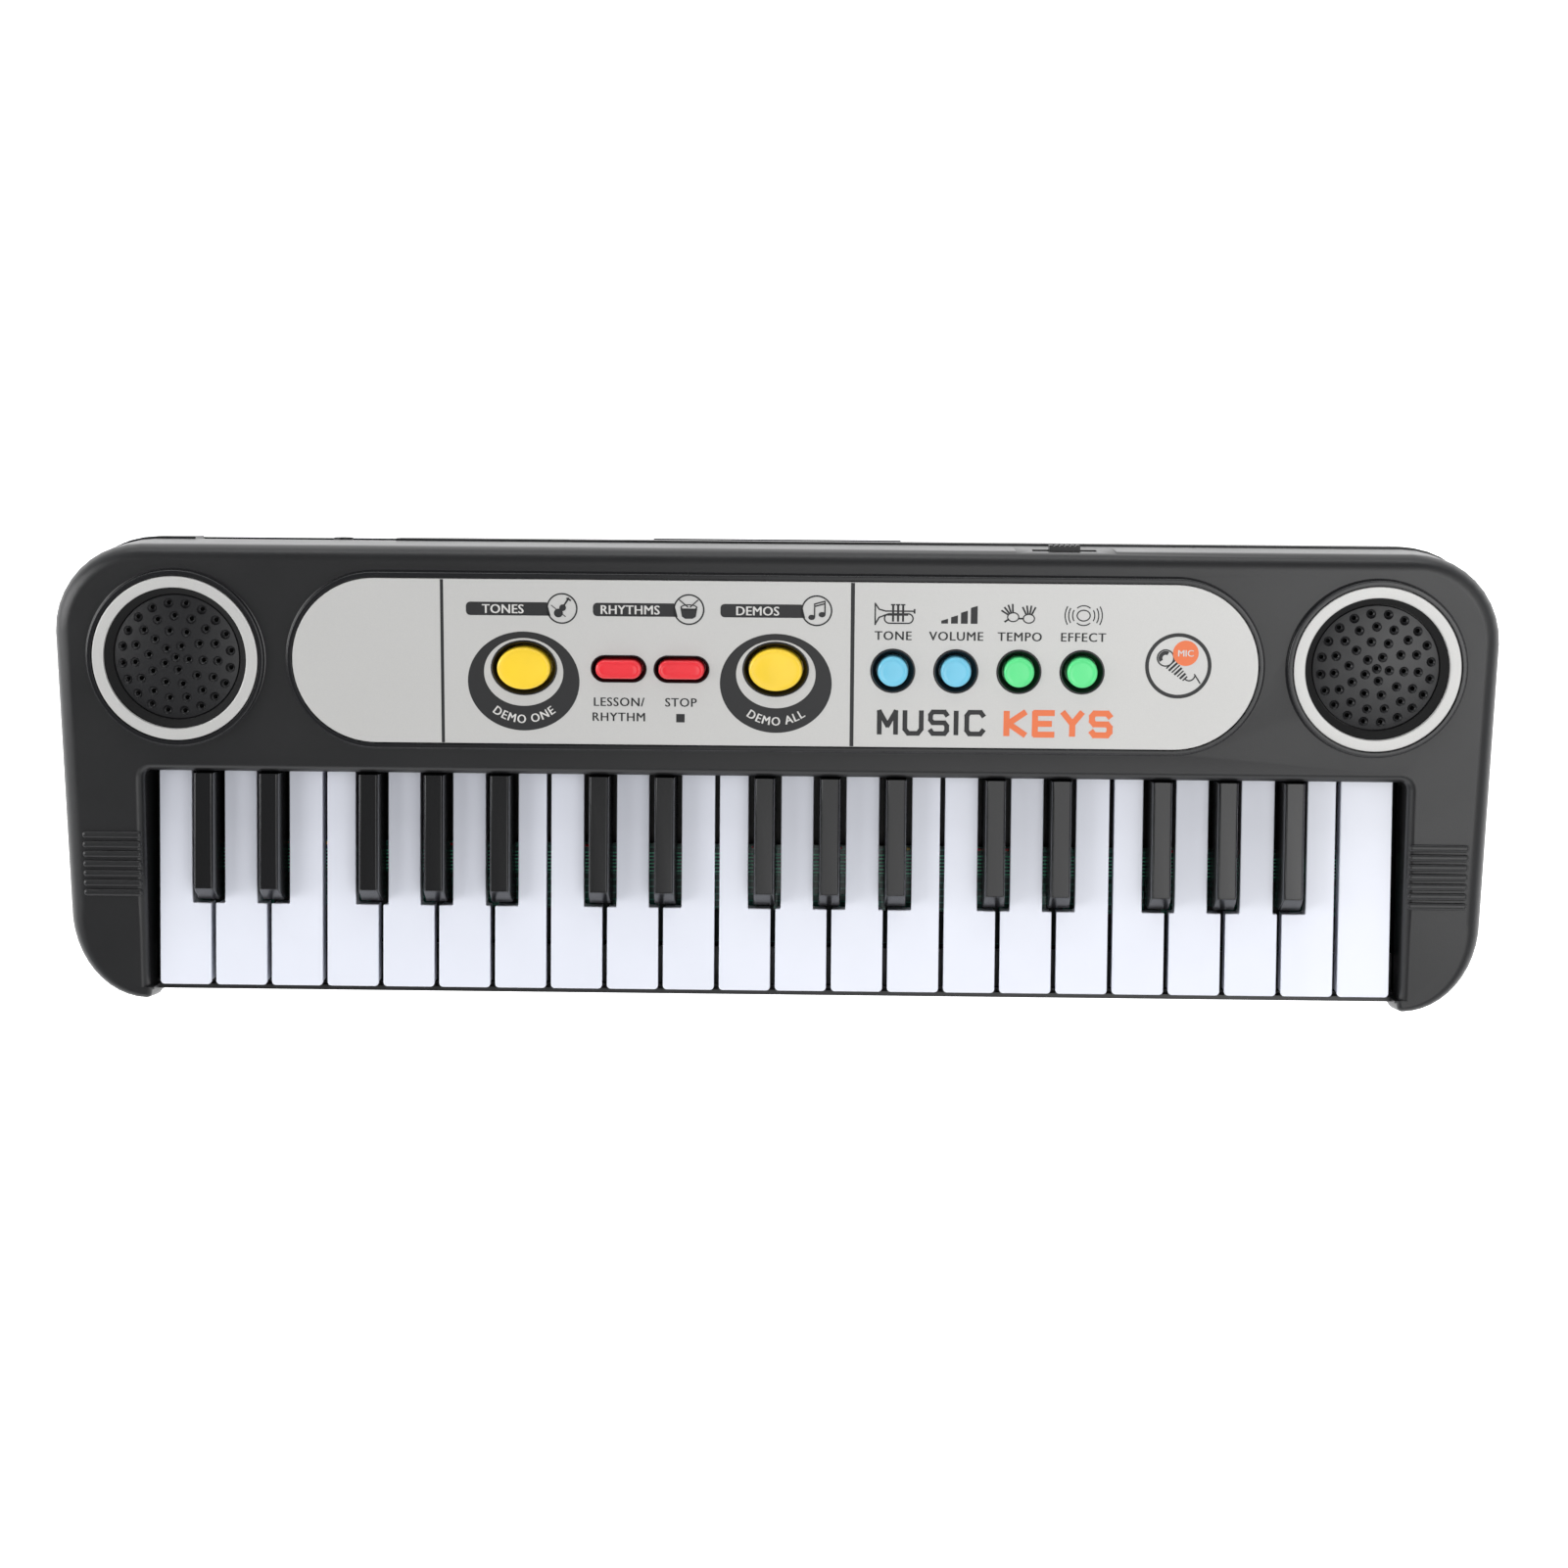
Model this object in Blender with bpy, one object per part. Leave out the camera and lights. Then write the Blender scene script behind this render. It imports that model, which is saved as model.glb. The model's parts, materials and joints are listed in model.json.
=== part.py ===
"""Toy electronic keyboard: hinged keys in a two-part casing, with a raised control panel,
two small loudspeakers, a slide switch at the rear and a battery bay underneath.

Frame: +X to the player's right, +Y to the rear, +Z up. The origin is on the table, under the middle.
Sizes are in millimetres, and become metres where a mesh is made.
The deck slopes. Pieces that lie on it are placed by (x, s, n): s runs up the slope from the line
through the middle of both loudspeakers, and n stands square to the panel's upper face.
"""
from math import cos, pi, radians, sin, tan

import bmesh
import bpy
from mathutils import Vector

MM = 0.001

# Overall sizes and levels
LENGTH = 410.0
DEPTH = 134.0
FOOT_HEIGHT = 2.0
SEAM_Z = 16.0
KEY_TOP_Z = 25.0
SILL_Z = 32.95
SILL_Y = 0.4
DECK_TILT = radians(5.6)
SEAT_GAP = 0.3
CUT_PAST = 8.0
# The exact solver leaves pinholes in the two casings, so those use the other one.
MANIFOLD_SOLVER_FOR = ("upper_casing", "lower_casing")

# Casing shells
WALL = 2.0
DECK_THICKNESS = 2.2
SIDE_TAPER = 2.0
REAR_CORNER_RADIUS = 26.0
CHEEK_ROUND_X = 22.5
CHEEK_ROUND_Y = 27.0
CHEEK_REACH = 2.4
WALL_DRAFT = 0.8
TOP_FILLET = 5.0
TIP_FILLET = 1.4
OPENING_FILLET = 2.5
LINER_WALL = 1.8
RAIL_WALL = 1.7
RAIL_TOP_Z = 20.0
SKIRT_WALL = 2.0
SKIRT_CLEARANCE = 1.8
LOWER_REAR_STEP = 0.9
LOWER_INSET = 0.3
BOTTOM_FILLET = 3.0

# Keys
WHITE_KEYS = 22
KEY_PITCH = 16.12
KEY_GAP = 1.4
KEY_FRONT_Y = -62.2
KEY_DEPTH = 8.0
KEY_WALL = 1.5
KEY_SIDE_CLEARANCE = 3.0
KEY_TRAVEL = radians(3.0)
NOTCH_WIDTH = 9.3
NOTCH_FRONT_Y = -38.5
WHITE_STEP_PAST_SILL = 2.8
TAIL_HEIGHT = 5.6
TAIL_DROP = 1.4
TAIL_END_Y = 7.7
BLACK_BASE_WIDTH = 6.3
BLACK_SHOULDER_WIDTH = 5.5
BLACK_TOP_WIDTH = 4.4
BLACK_HEIGHT = 7.3
BLACK_SHOULDER_DROP = 0.8
BLACK_DEPTH = 6.0
BLACK_FRONT_GAP = 1.2
BLACK_FRONT_LEAN = 4.1
# The black keys sit off the joint between two white keys by these amounts, one for each white key name.
BLACK_OFFSETS = {"C": -1.3, "D": 1.25, "F": -2.5, "G": 0.0, "A": 2.7}
OCTAVE = "CDEFGAB"

# Pivot rail behind the keys
RAIL_FLANGE = 1.7
RAIL_LIP = 1.6
RAIL_WEB = 2.0
RAIL_LIP_REACH = 3.5
RAIL_FLANGE_REACH = 4.0
PIVOT_BEFORE_TAIL_END = 1.2

# Contacts under the keys
KEY_BOARD_TOP_Z = 10.0
BOARD_THICKNESS = 1.6
KEY_BOARD_FRONT_Y = -50.5
KEY_BOARD_REAR_Y = -22.0
STRIP_THICKNESS = 1.0
STRIP_WIDTH = 9.0
DOME_HEIGHT = 2.2
WHITE_DOME_RADIUS = 3.0
BLACK_DOME_RADIUS = 2.2
WHITE_DOME_Y = -45.5
BLACK_DOME_Y = -34.0
POST_SIZE = 3.0
STOP_CLEARANCE = 0.4

# Deck furniture
SPEAKER_Y = 32.83
SPEAKER_X = 169.2
PANEL_HALF_LENGTH = 136.0
DISC_RADIUS = 23.6
RING_WIDTH = 3.4
PLATE_THICKNESS = 1.0
RAISE = 1.7
RIM_WIDTH = 0.3
RIM_DROP = 0.15
RIM_BEVEL = 1.6
PLATE_CLEARANCE = 0.25
FUNNEL_WIDTH = 2.3
GRILLE_SINK = 3.2
GRILLE_DOME = 1.5
GRILLE_THICKNESS = 1.2
GRILLE_FLANGE_WIDTH = 3.1
FUNNEL_DEPTH = 3.0
DRIVER_DEPTH = 15.0
MAGNET_RADIUS = 13.0
DRIVER_RIM_LAP = 1.0
MAGNET_DEPTH = 6.0

# Buttons: name, shape, x, s, half width, half height of the cap, and half sizes of its hole
BUTTONS = (
    ("demo_one_button", "oval", -70.4, -1.95, 7.5, 6.0, 9.4, 7.9),
    ("demo_all_button", "oval", 0.5, -1.75, 7.5, 6.0, 9.4, 7.9),
    ("lesson_button", "pill", -43.7, -2.0, 6.45, 2.65, 7.9, 3.95),
    ("stop_button", "pill", -26.0, -2.0, 6.45, 2.65, 7.9, 3.95),
    ("tone_button", "oval", 33.4, -1.85, 4.25, 4.25, 6.35, 6.35),
    ("volume_button", "oval", 51.1, -1.85, 4.25, 4.25, 6.35, 6.35),
    ("tempo_button", "oval", 68.8, -1.8, 4.25, 4.25, 6.35, 6.35),
    ("effect_button", "oval", 86.5, -1.75, 4.25, 4.25, 6.35, 6.35),
)
BUTTON_COLOURS = {"demo": (0.95, 0.68, 0.04), "lesson": (0.75, 0.03, 0.04), "stop": (0.75, 0.03, 0.04),
                  "tone": (0.15, 0.56, 0.80), "volume": (0.15, 0.56, 0.80),
                  "tempo": (0.12, 0.70, 0.22), "effect": (0.12, 0.70, 0.22)}
BUTTON_PROUD = 2.0
BUTTON_TRAVEL = 1.2
BUTTON_FLANGE = 1.2
BUTTON_CLEARANCE = 0.4
BUTTON_ROUND = 0.8
STEM_LENGTH = 1.0
SWITCH_HEIGHT = 3.5
SWITCH_SIZE = 6.0
BOARD_LEFT_X = -95.0
BOARD_RIGHT_X = 100.0
BOARD_HALF_WIDTH = 19.0
BOARD_SCREW_X = (-88.0, -18.0, 94.0)
BOARD_SCREW_S = 16.0

# Slide switch in the rear edge
SLIDE_X = 81.8
SLIDE_RECESS_WIDTH = 28.0
SLIDE_FACE_LOW_Y = 66.2
SLIDE_FACE_HIGH_Y = 64.4
SLIDE_SLOT_WIDTH = 18.2
SLIDE_SLOT_Z = 28.5
SLIDE_SLOT_HEIGHT = 4.6
SLIDE_KNOB_WIDTH = 8.8
SLIDE_TRAVEL = 4.0
SLIDE_PROUD = 1.5
SLIDE_FLANGE = 0.7
SLIDE_BODY_DEPTH = 6.0

# Grip ribs on the cheeks
RIB_COUNT = 7
RIB_PITCH = 2.8
RIB_RADIUS = 0.9
RIB_PROUD = 0.55
RIB_MIDDLE_Y = -26.8
RIB_INNER_X = 181.0
RIB_OUTER_X = 196.5

# Lower casing: battery bay, feet, screws, socket
BAY_LENGTH = 60.0
BAY_WIDTH = 46.0
BAY_MIDDLE_Y = 38.0
BAY_TOP_Z = 19.0
BAY_WALL = 1.6
DOOR_LAP = 3.0
DOOR_THICKNESS = 1.8
DOOR_FRAME_THICKNESS = 2.0
FOOT_RADIUS = 6.0
FEET = ((180.0, -50.0), (172.0, 48.0))
SCREWS = ((192.5, -46.0), (193.0, 5.0), (120.0, 59.5), (44.0, 59.5))
BOSS_RADIUS = 3.2
SCREW_RADIUS = 1.2
SCREW_HEAD_RADIUS = 2.4
SCREW_HEAD_DEPTH = 3.0
SHELF_REAR_Y = -51.6
SHELF_THICKNESS = 2.0
RIB_WALL = 1.5
SUPPORT_X = (-160.0, -96.0, -32.0, 32.0, 96.0, 160.0)
SOCKET_X = -126.0
SOCKET_Z = 10.0
SOCKET_RADIUS = 1.75
SOCKET_NUB_RADIUS = 2.8
SOCKET_RECESS = (-168.0, -110.0)
SOCKET_RECESS_DEPTH = 2.4

# Worked out from the sizes above
RING_INNER_RADIUS = DISC_RADIUS - RING_WIDTH
GRILLE_RADIUS = RING_INNER_RADIUS - FUNNEL_WIDTH
GRILLE_FLANGE_RADIUS = GRILLE_RADIUS + GRILLE_FLANGE_WIDTH
DRIVER_RADIUS = GRILLE_FLANGE_RADIUS - DRIVER_RIM_LAP
REAR_Y = DEPTH / 2
UPPER_REAR_Y = REAR_Y - LOWER_REAR_STEP
FRONT_Y = -DEPTH / 2
RAIL_FRONT_Y = FRONT_Y + CHEEK_REACH
FLOOR_Z = FOOT_HEIGHT + WALL
KEYBED_HALF = WHITE_KEYS * KEY_PITCH / 2 - KEY_GAP / 2 + KEY_SIDE_CLEARANCE
KEY_BOTTOM_Z = KEY_TOP_Z - KEY_DEPTH
SKIRT_BOTTOM_Z = KEY_TOP_Z + SKIRT_CLEARANCE
TAIL_TOP_Z = KEY_TOP_Z - TAIL_DROP
TAIL_BOTTOM_Z = TAIL_TOP_Z - TAIL_HEIGHT
PIVOT_Y = TAIL_END_Y - PIVOT_BEFORE_TAIL_END
PIVOT_Z = (TAIL_TOP_Z + TAIL_BOTTOM_Z) / 2
RAIL_WEB_Y = TAIL_END_Y + SEAT_GAP
RAIL_LOW_Z = TAIL_BOTTOM_Z - 0.8
RAIL_BASE_Z = RAIL_LOW_Z - RAIL_FLANGE
DOME_TOP_Z = KEY_BOARD_TOP_Z + SEAT_GAP + STRIP_THICKNESS + DOME_HEIGHT
SHELF_TOP_Z = KEY_BOTTOM_Z - (PIVOT_Y - KEY_FRONT_Y) * KEY_TRAVEL - STOP_CLEARANCE
DECK_UNDERSIDE = -RAISE - DECK_THICKNESS
BOARD_TOP = DECK_UNDERSIDE - SEAT_GAP - BUTTON_FLANGE - STEM_LENGTH - BUTTON_TRAVEL - STOP_CLEARANCE - SWITCH_HEIGHT


def deck_z(y):
    """Height of the deck's upper surface at y."""
    return SILL_Z + (y - SILL_Y) * tan(DECK_TILT)


def on_deck(x, s, n):
    """The point s up the slope from the loudspeakers' line and n above the panel's face."""
    middle_z = deck_z(SPEAKER_Y) + RAISE / cos(DECK_TILT)
    return (x, SPEAKER_Y + s * cos(DECK_TILT) - n * sin(DECK_TILT), middle_z + s * sin(DECK_TILT) + n * cos(DECK_TILT))


# Meshes

def clear_scene():
    for old in list(bpy.data.objects):
        bpy.data.objects.remove(old, do_unlink=True)


def material(name, colour, roughness, metallic=0.0):
    made = bpy.data.materials.new(name)
    made.use_nodes = True
    shader = made.node_tree.nodes["Principled BSDF"]
    shader.inputs["Base Color"].default_value = (*colour, 1.0)
    shader.inputs["Roughness"].default_value = roughness
    shader.inputs["Metallic"].default_value = metallic
    return made


def mesh_object(name, bm):
    bmesh.ops.recalc_face_normals(bm, faces=bm.faces)
    bmesh.ops.triangulate(bm, faces=bm.faces)
    mesh = bpy.data.meshes.new(name)
    bm.to_mesh(mesh)
    bm.free()
    made = bpy.data.objects.new(name, mesh)
    bpy.context.scene.collection.objects.link(made)
    return made


def loft(name, rings):
    """A closed body through rings with the same number of points, with a flat cap on each end."""
    bm = bmesh.new()
    rows = [[bm.verts.new(Vector(p) * MM) for p in ring] for ring in rings]
    for low, high in zip(rows, rows[1:]):
        for i in range(len(low)):
            j = (i + 1) % len(low)
            bm.faces.new((low[i], low[j], high[j], high[i]))
    bm.faces.new(rows[0])
    bm.faces.new(rows[-1])
    return mesh_object(name, bm)


def box(name, x, y, z):
    """A box from three (low, high) pairs."""
    corners = ((x[0], y[0]), (x[1], y[0]), (x[1], y[1]), (x[0], y[1]))
    return loft(name, [[(cx, cy, level) for cx, cy in corners] for level in z])


def deck_box(name, x, s, n):
    corners = ((x[0], s[0]), (x[1], s[0]), (x[1], s[1]), (x[0], s[1]))
    return loft(name, [[on_deck(cx, cs, level) for cx, cs in corners] for level in n])


def circle(radius, steps, x=0.0, y=0.0):
    return [(x + radius * cos(2 * pi * i / steps), y + radius * sin(2 * pi * i / steps)) for i in range(steps)]


def post(name, x, y, radius, z, steps=16):
    return loft(name, [[(px, py, level) for px, py in circle(radius, steps, x, y)] for level in z])


def deck_turned(name, x, profile, steps=40):
    """A body turned about the deck's normal at (x, 0), from (radius, n) points."""
    return loft(name, [[on_deck(px, ps, n) for px, ps in circle(radius, steps, x)] for radius, n in profile])


def arc(x, y, radius_x, radius_y, start, end, steps):
    angles = [start + (end - start) * i / steps for i in range(steps + 1)]
    return [(x + radius_x * cos(a), y + radius_y * sin(a)) for a in angles]


def stadium(half_length, radius, steps=16, x=0.0, s=0.0):
    """A long outline with round ends, half_length measured to the end of the round."""
    reach = half_length - radius
    right = arc(x + reach, s, radius, radius, -pi / 2, pi / 2, steps)
    left = arc(x - reach, s, radius, radius, pi / 2, 3 * pi / 2, steps)
    return right + left


def combine(target, others, operation):
    """Applies one Boolean for each of the others, and removes them."""
    for other in others:
        step = target.modifiers.new(other.name, "BOOLEAN")
        step.operation = operation
        step.solver = "MANIFOLD" if target.name in MANIFOLD_SOLVER_FOR else "EXACT"
        step.object = other
        bpy.context.view_layer.update()
        evaluated = target.evaluated_get(bpy.context.evaluated_depsgraph_get())
        joined = bpy.data.meshes.new_from_object(evaluated)
        target.modifiers.clear()
        target.data = joined
        bpy.data.objects.remove(other, do_unlink=True)
    return target


def cut(target, *cutters):
    return combine(target, cutters, "DIFFERENCE")


def join(target, *others):
    return combine(target, others, "UNION")


def finish(made, finish_material, smooth_below=35.0):
    made.data.materials.clear()
    made.data.materials.append(finish_material)
    made.data.shade_smooth()
    made.data.set_sharp_from_angle(angle=radians(smooth_below))
    return made


# Casing outline

def casing_outline(rear_y):
    """Right half of the casing seen from above, from the rear edge to the front rail, as (x, y, top fillet)."""
    half = LENGTH / 2
    radius = REAR_CORNER_RADIUS
    corner = arc(half - radius, rear_y - radius, radius, radius, pi / 2, 0, 10)
    cheek_x = half - SIDE_TAPER - CHEEK_ROUND_X
    cheek = arc(cheek_x, FRONT_Y + CHEEK_ROUND_Y, CHEEK_ROUND_X, CHEEK_ROUND_Y, 0, -pi / 2, 12)
    tip = arc(cheek_x, RAIL_FRONT_Y, CHEEK_REACH, CHEEK_REACH, -pi / 2, -pi, 4)[1:]
    points = [(x, y, TOP_FILLET) for x, y in corner]
    for i, (x, y) in enumerate(cheek):
        share = i / (len(cheek) - 1)
        points.append((x, y, TOP_FILLET + (TIP_FILLET - TOP_FILLET) * share))
    points += [(x, y, TIP_FILLET) for x, y in tip]
    return points


def mirrored(right):
    """The full loop, from its right half."""
    left = [(-point[0], *point[1:]) for point in reversed(right)]
    return right + left


def offset_loop(loop, distances):
    """Moves each side of a clockwise loop inwards by the distance at each point, with mitred corners."""
    moved = []
    for i, here in enumerate(loop):
        before = Vector(loop[i - 1][:2])
        at = Vector(here[:2])
        after = Vector(loop[(i + 1) % len(loop)][:2])
        first = (at - before).normalized()
        second = (after - at).normalized()
        inward_first = Vector((first.y, -first.x))
        inward_second = Vector((second.y, -second.x))
        middle = (inward_first + inward_second).normalized()
        moved.append(tuple(at + middle * (distances[i] / max(middle.dot(inward_first), 0.5))))
    return moved


# Upper casing

def upper_outside():
    loop = mirrored(casing_outline(UPPER_REAR_Y))
    fillets = [point[2] for point in loop]
    rings = [[(x, y, SEAM_Z) for x, y, _ in loop]]
    for angle in (0, 22.5, 45, 67.5, 90):
        turn = radians(angle)
        flat = offset_loop(loop, [WALL_DRAFT + f * (1 - cos(turn)) for f in fillets])
        rings.append([(x, y, deck_z(y) - f * (1 - sin(turn))) for (x, y), f in zip(flat, fillets)])
    return loft("upper_casing", rings)


def upper_cavity():
    loop = mirrored(casing_outline(UPPER_REAR_Y))
    fillets = [point[2] for point in loop]
    low = offset_loop(loop, [WALL] * len(loop))
    middle = offset_loop(loop, [WALL + min(WALL_DRAFT, f - TIP_FILLET) for f in fillets])
    high = offset_loop(loop, [max(WALL, f) for f in fillets])
    rings = [[(x, y, SEAM_Z - CUT_PAST) for x, y in low],
             [(x, y, deck_z(y) - max(f, DECK_THICKNESS + 0.5)) for (x, y), f in zip(middle, fillets)],
             [(x, y, deck_z(y) - DECK_THICKNESS) for x, y in high]]
    cavity = loft("cavity", rings)
    liner = box("liner", (-KEYBED_HALF - LINER_WALL, KEYBED_HALF + LINER_WALL),
                (FRONT_Y - CUT_PAST, SILL_Y + SKIRT_WALL), (0, SILL_Z + CUT_PAST))
    tips = box("tips", (-KEYBED_HALF - CUT_PAST, KEYBED_HALF + CUT_PAST),
               (FRONT_Y - CUT_PAST, RAIL_FRONT_Y + WALL), (-1, SILL_Z + CUT_PAST))
    return cut(cavity, liner, tips)


def keybed_cutter():
    """The opening over the keys: upright walls, then a rounded edge that flares onto the deck."""
    def ring(flare, height):
        half = KEYBED_HALF + flare
        rear = SILL_Y + flare
        front = RAIL_FRONT_Y + RAIL_WALL
        radius = 2.0 + flare
        corner = arc(half - radius, rear - radius, radius, radius, 0, pi / 2, 4)
        right = [(half, front)] + corner
        left = [(-x, y) for x, y in reversed(right)]
        return [(x, y, height(y)) for x, y in right + left]

    rings = [ring(0, lambda y: 0.0)]
    for angle in (0, 30, 60, 90):
        turn = radians(angle)
        drop = OPENING_FILLET * (1 - sin(turn))
        rings.append(ring(OPENING_FILLET * (1 - cos(turn)), lambda y, drop=drop: deck_z(y) + 0.05 - drop))
    rings.append(ring(OPENING_FILLET, lambda y: deck_z(y) + CUT_PAST))
    return loft("keybed", rings)


def raised_rim(name, outline):
    """A low plinth with a bevelled side, on which a plate sits; outline gives its loop for a growth in size."""
    levels = ((-RAISE - 0.5, RIM_BEVEL), (-RIM_DROP, 0.0))
    rings = [[on_deck(x, s, n) for x, s in outline(PLATE_CLEARANCE + RIM_WIDTH + grow)] for n, grow in levels]
    return loft(name, rings)


def plate_recess(name, outline):
    levels = (-PLATE_THICKNESS - SEAT_GAP, CUT_PAST)
    return loft(name, [[on_deck(x, s, n) for x, s in outline(PLATE_CLEARANCE)] for n in levels])


def panel_outline(grow):
    return stadium(PANEL_HALF_LENGTH + grow, DISC_RADIUS + grow)


def disc_outline(side):
    return lambda grow: circle(DISC_RADIUS + grow, 48, side * SPEAKER_X)


def speaker_hole(side):
    hole = GRILLE_RADIUS + SEAT_GAP
    profile = ((hole, DECK_UNDERSIDE - CUT_PAST), (hole, -FUNNEL_DEPTH),
               (RING_INNER_RADIUS, -PLATE_THICKNESS - SEAT_GAP), (RING_INNER_RADIUS, CUT_PAST))
    return deck_turned("speaker_hole", side * SPEAKER_X, profile, 48)


def button_outline(shape, x, s, half_x, half_s):
    if shape == "pill":
        return stadium(half_x, half_s, 7, x, s)
    return [(x + half_x * cos(2 * pi * i / 20), s + half_s * sin(2 * pi * i / 20)) for i in range(20)]


def button_hole(spec):
    """A dished hole: as wide as the panel's hole at the top, and close round the cap at the bottom."""
    name, shape, x, s, cap_x, cap_s, hole_x, hole_s = spec
    near = (cap_x + BUTTON_CLEARANCE, cap_s + BUTTON_CLEARANCE)
    levels = ((DECK_UNDERSIDE - CUT_PAST, near), (-FUNNEL_DEPTH, near), (-PLATE_THICKNESS - SEAT_GAP, (hole_x, hole_s)),
              (CUT_PAST, (hole_x, hole_s)))
    return loft(name + "_hole", [[on_deck(px, ps, n) for px, ps in button_outline(shape, x, s, *half)]
                                 for n, half in levels])


def grip_rib(side, index):
    """A low rounded bar across a cheek."""
    y = RIB_MIDDLE_Y + (index - (RIB_COUNT - 1) / 2) * RIB_PITCH
    sunk = RIB_RADIUS - RIB_PROUD
    profile = [(y + RIB_RADIUS * cos(radians(a)), RIB_RADIUS * sin(radians(a)) - sunk) for a in range(0, 181, 30)]
    profile = [(y - RIB_RADIUS, -1.0 - sunk)] + [(y + RIB_RADIUS, -1.0 - sunk)] + profile
    ends = (side * RIB_INNER_X, side * RIB_OUTER_X)
    return loft("grip_rib", [[(x, py, deck_z(py) + up) for py, up in profile] for x in ends])


def slide_recess():
    """The flat rear face round the slide switch, and the slot in it."""
    half = SLIDE_RECESS_WIDTH / 2
    corner = 3.0
    high = SILL_Z + CUT_PAST + corner
    across = [(SLIDE_X - half - corner, REAR_Y + CUT_PAST), (SLIDE_X - half, 0.0), (SLIDE_X + half, 0.0),
              (SLIDE_X + half + corner, REAR_Y + CUT_PAST)]

    def face_y(z):
        share = (z - SEAM_Z) / (SILL_Z + 5.0 - SEAM_Z)
        return SLIDE_FACE_LOW_Y + (SLIDE_FACE_HIGH_Y - SLIDE_FACE_LOW_Y) * share

    rings = []
    for z in (SEAM_Z - 1.0, high):
        rings.append([(x, y if y else face_y(z), z) for x, y in across])
    recess = loft("slide_recess", rings)
    slot = box("slide_slot", (SLIDE_X - SLIDE_SLOT_WIDTH / 2, SLIDE_X + SLIDE_SLOT_WIDTH / 2),
               (UPPER_REAR_Y - WALL - CUT_PAST, REAR_Y + CUT_PAST),
               (SLIDE_SLOT_Z - SLIDE_SLOT_HEIGHT / 2, SLIDE_SLOT_Z + SLIDE_SLOT_HEIGHT / 2))
    return recess, slot


def both_sides(places):
    return [(side * x, y) for x, y in places for side in (-1, 1)]


def upper_bosses():
    """Screw posts that hang from the deck, down to the seam or to the circuit board."""
    posts = []
    for x, y in both_sides(SCREWS):
        posts.append(post("boss", x, y, BOSS_RADIUS, (SEAM_Z + SEAT_GAP, deck_z(y) - DECK_THICKNESS / 2)))
    for x in BOARD_SCREW_X:
        for s in (-BOARD_SCREW_S, BOARD_SCREW_S):
            ring = circle(BOSS_RADIUS - 0.6, 12, x, s)
            levels = (BOARD_TOP + SEAT_GAP, DECK_UNDERSIDE + DECK_THICKNESS / 2)
            posts.append(loft("boss", [[on_deck(px, ps, n) for px, ps in ring] for n in levels]))
    return posts


def upper_screw_holes():
    holes = []
    for x, y in both_sides(SCREWS):
        holes.append(post("hole", x, y, SCREW_RADIUS, (SEAM_Z - 1.0, deck_z(y) - DECK_THICKNESS - 4.0), 10))
    return holes


def make_upper_casing(dark):
    casing = cut(upper_outside(), upper_cavity())
    join(casing, raised_rim("panel_rim", panel_outline))
    for side in (-1, 1):
        join(casing, raised_rim("speaker_rim", disc_outline(side)))
    for side in (-1, 1):
        for index in range(RIB_COUNT):
            join(casing, grip_rib(side, index))
    cut(casing, keybed_cutter())
    rail_x = LENGTH / 2 - SIDE_TAPER - CHEEK_ROUND_X - CHEEK_REACH
    cut(casing, box("rail", (-rail_x, rail_x), (FRONT_Y - CUT_PAST, RAIL_FRONT_Y + RAIL_WALL + 1.0),
                    (RAIL_TOP_Z, SILL_Z + CUT_PAST)))
    cut(casing, box("under_skirt", (-KEYBED_HALF, KEYBED_HALF), (SILL_Y - 1.0, SILL_Y + SKIRT_WALL + 1.0),
                    (0, SKIRT_BOTTOM_Z)))
    join(casing, *upper_bosses())
    cut(casing, plate_recess("panel_recess", panel_outline))
    for side in (-1, 1):
        cut(casing, plate_recess("ring_recess", disc_outline(side)), speaker_hole(side))
    cut(casing, *[button_hole(spec) for spec in BUTTONS])
    cut(casing, *slide_recess())
    cut(casing, *upper_screw_holes())
    return finish(casing, dark)


# Lower casing

def lower_outside():
    loop = mirrored(casing_outline(REAR_Y))
    rings = []
    for angle in (0, 30, 60, 90):
        turn = radians(angle)
        inset = LOWER_INSET + BOTTOM_FILLET * (1 - sin(turn))
        z = FOOT_HEIGHT + BOTTOM_FILLET * (1 - cos(turn))
        shrink = [min(inset, LOWER_INSET + TIP_FILLET) if f < 3.0 else inset for _, _, f in loop]
        rings.append([(x, y, z) for x, y in offset_loop(loop, shrink)])
    rings.append([(x, y, SEAM_Z - SEAT_GAP) for x, y in offset_loop(loop, [LOWER_INSET] * len(loop))])
    return loft("lower_casing", rings)


def lower_cavity():
    loop = mirrored(casing_outline(REAR_Y))
    inner = offset_loop(loop, [LOWER_INSET + WALL] * len(loop))
    return loft("cavity", [[(x, y, z) for x, y in inner] for z in (FLOOR_Z, SEAM_Z + CUT_PAST)])


def front_shelf():
    """The shelf that the white keys stop on, and the ribs under it."""
    front = RAIL_FRONT_Y + WALL / 2
    pieces = [box("shelf", (-KEYBED_HALF, KEYBED_HALF), (front, SHELF_REAR_Y),
                  (SHELF_TOP_Z - SHELF_THICKNESS, SHELF_TOP_Z))]
    for x in SUPPORT_X:
        pieces.append(box("shelf_rib", (x - RIB_WALL / 2, x + RIB_WALL / 2), (front, SHELF_REAR_Y - 0.7),
                          (FLOOR_Z - 0.5, SHELF_TOP_Z - 0.5)))
    return pieces


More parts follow.
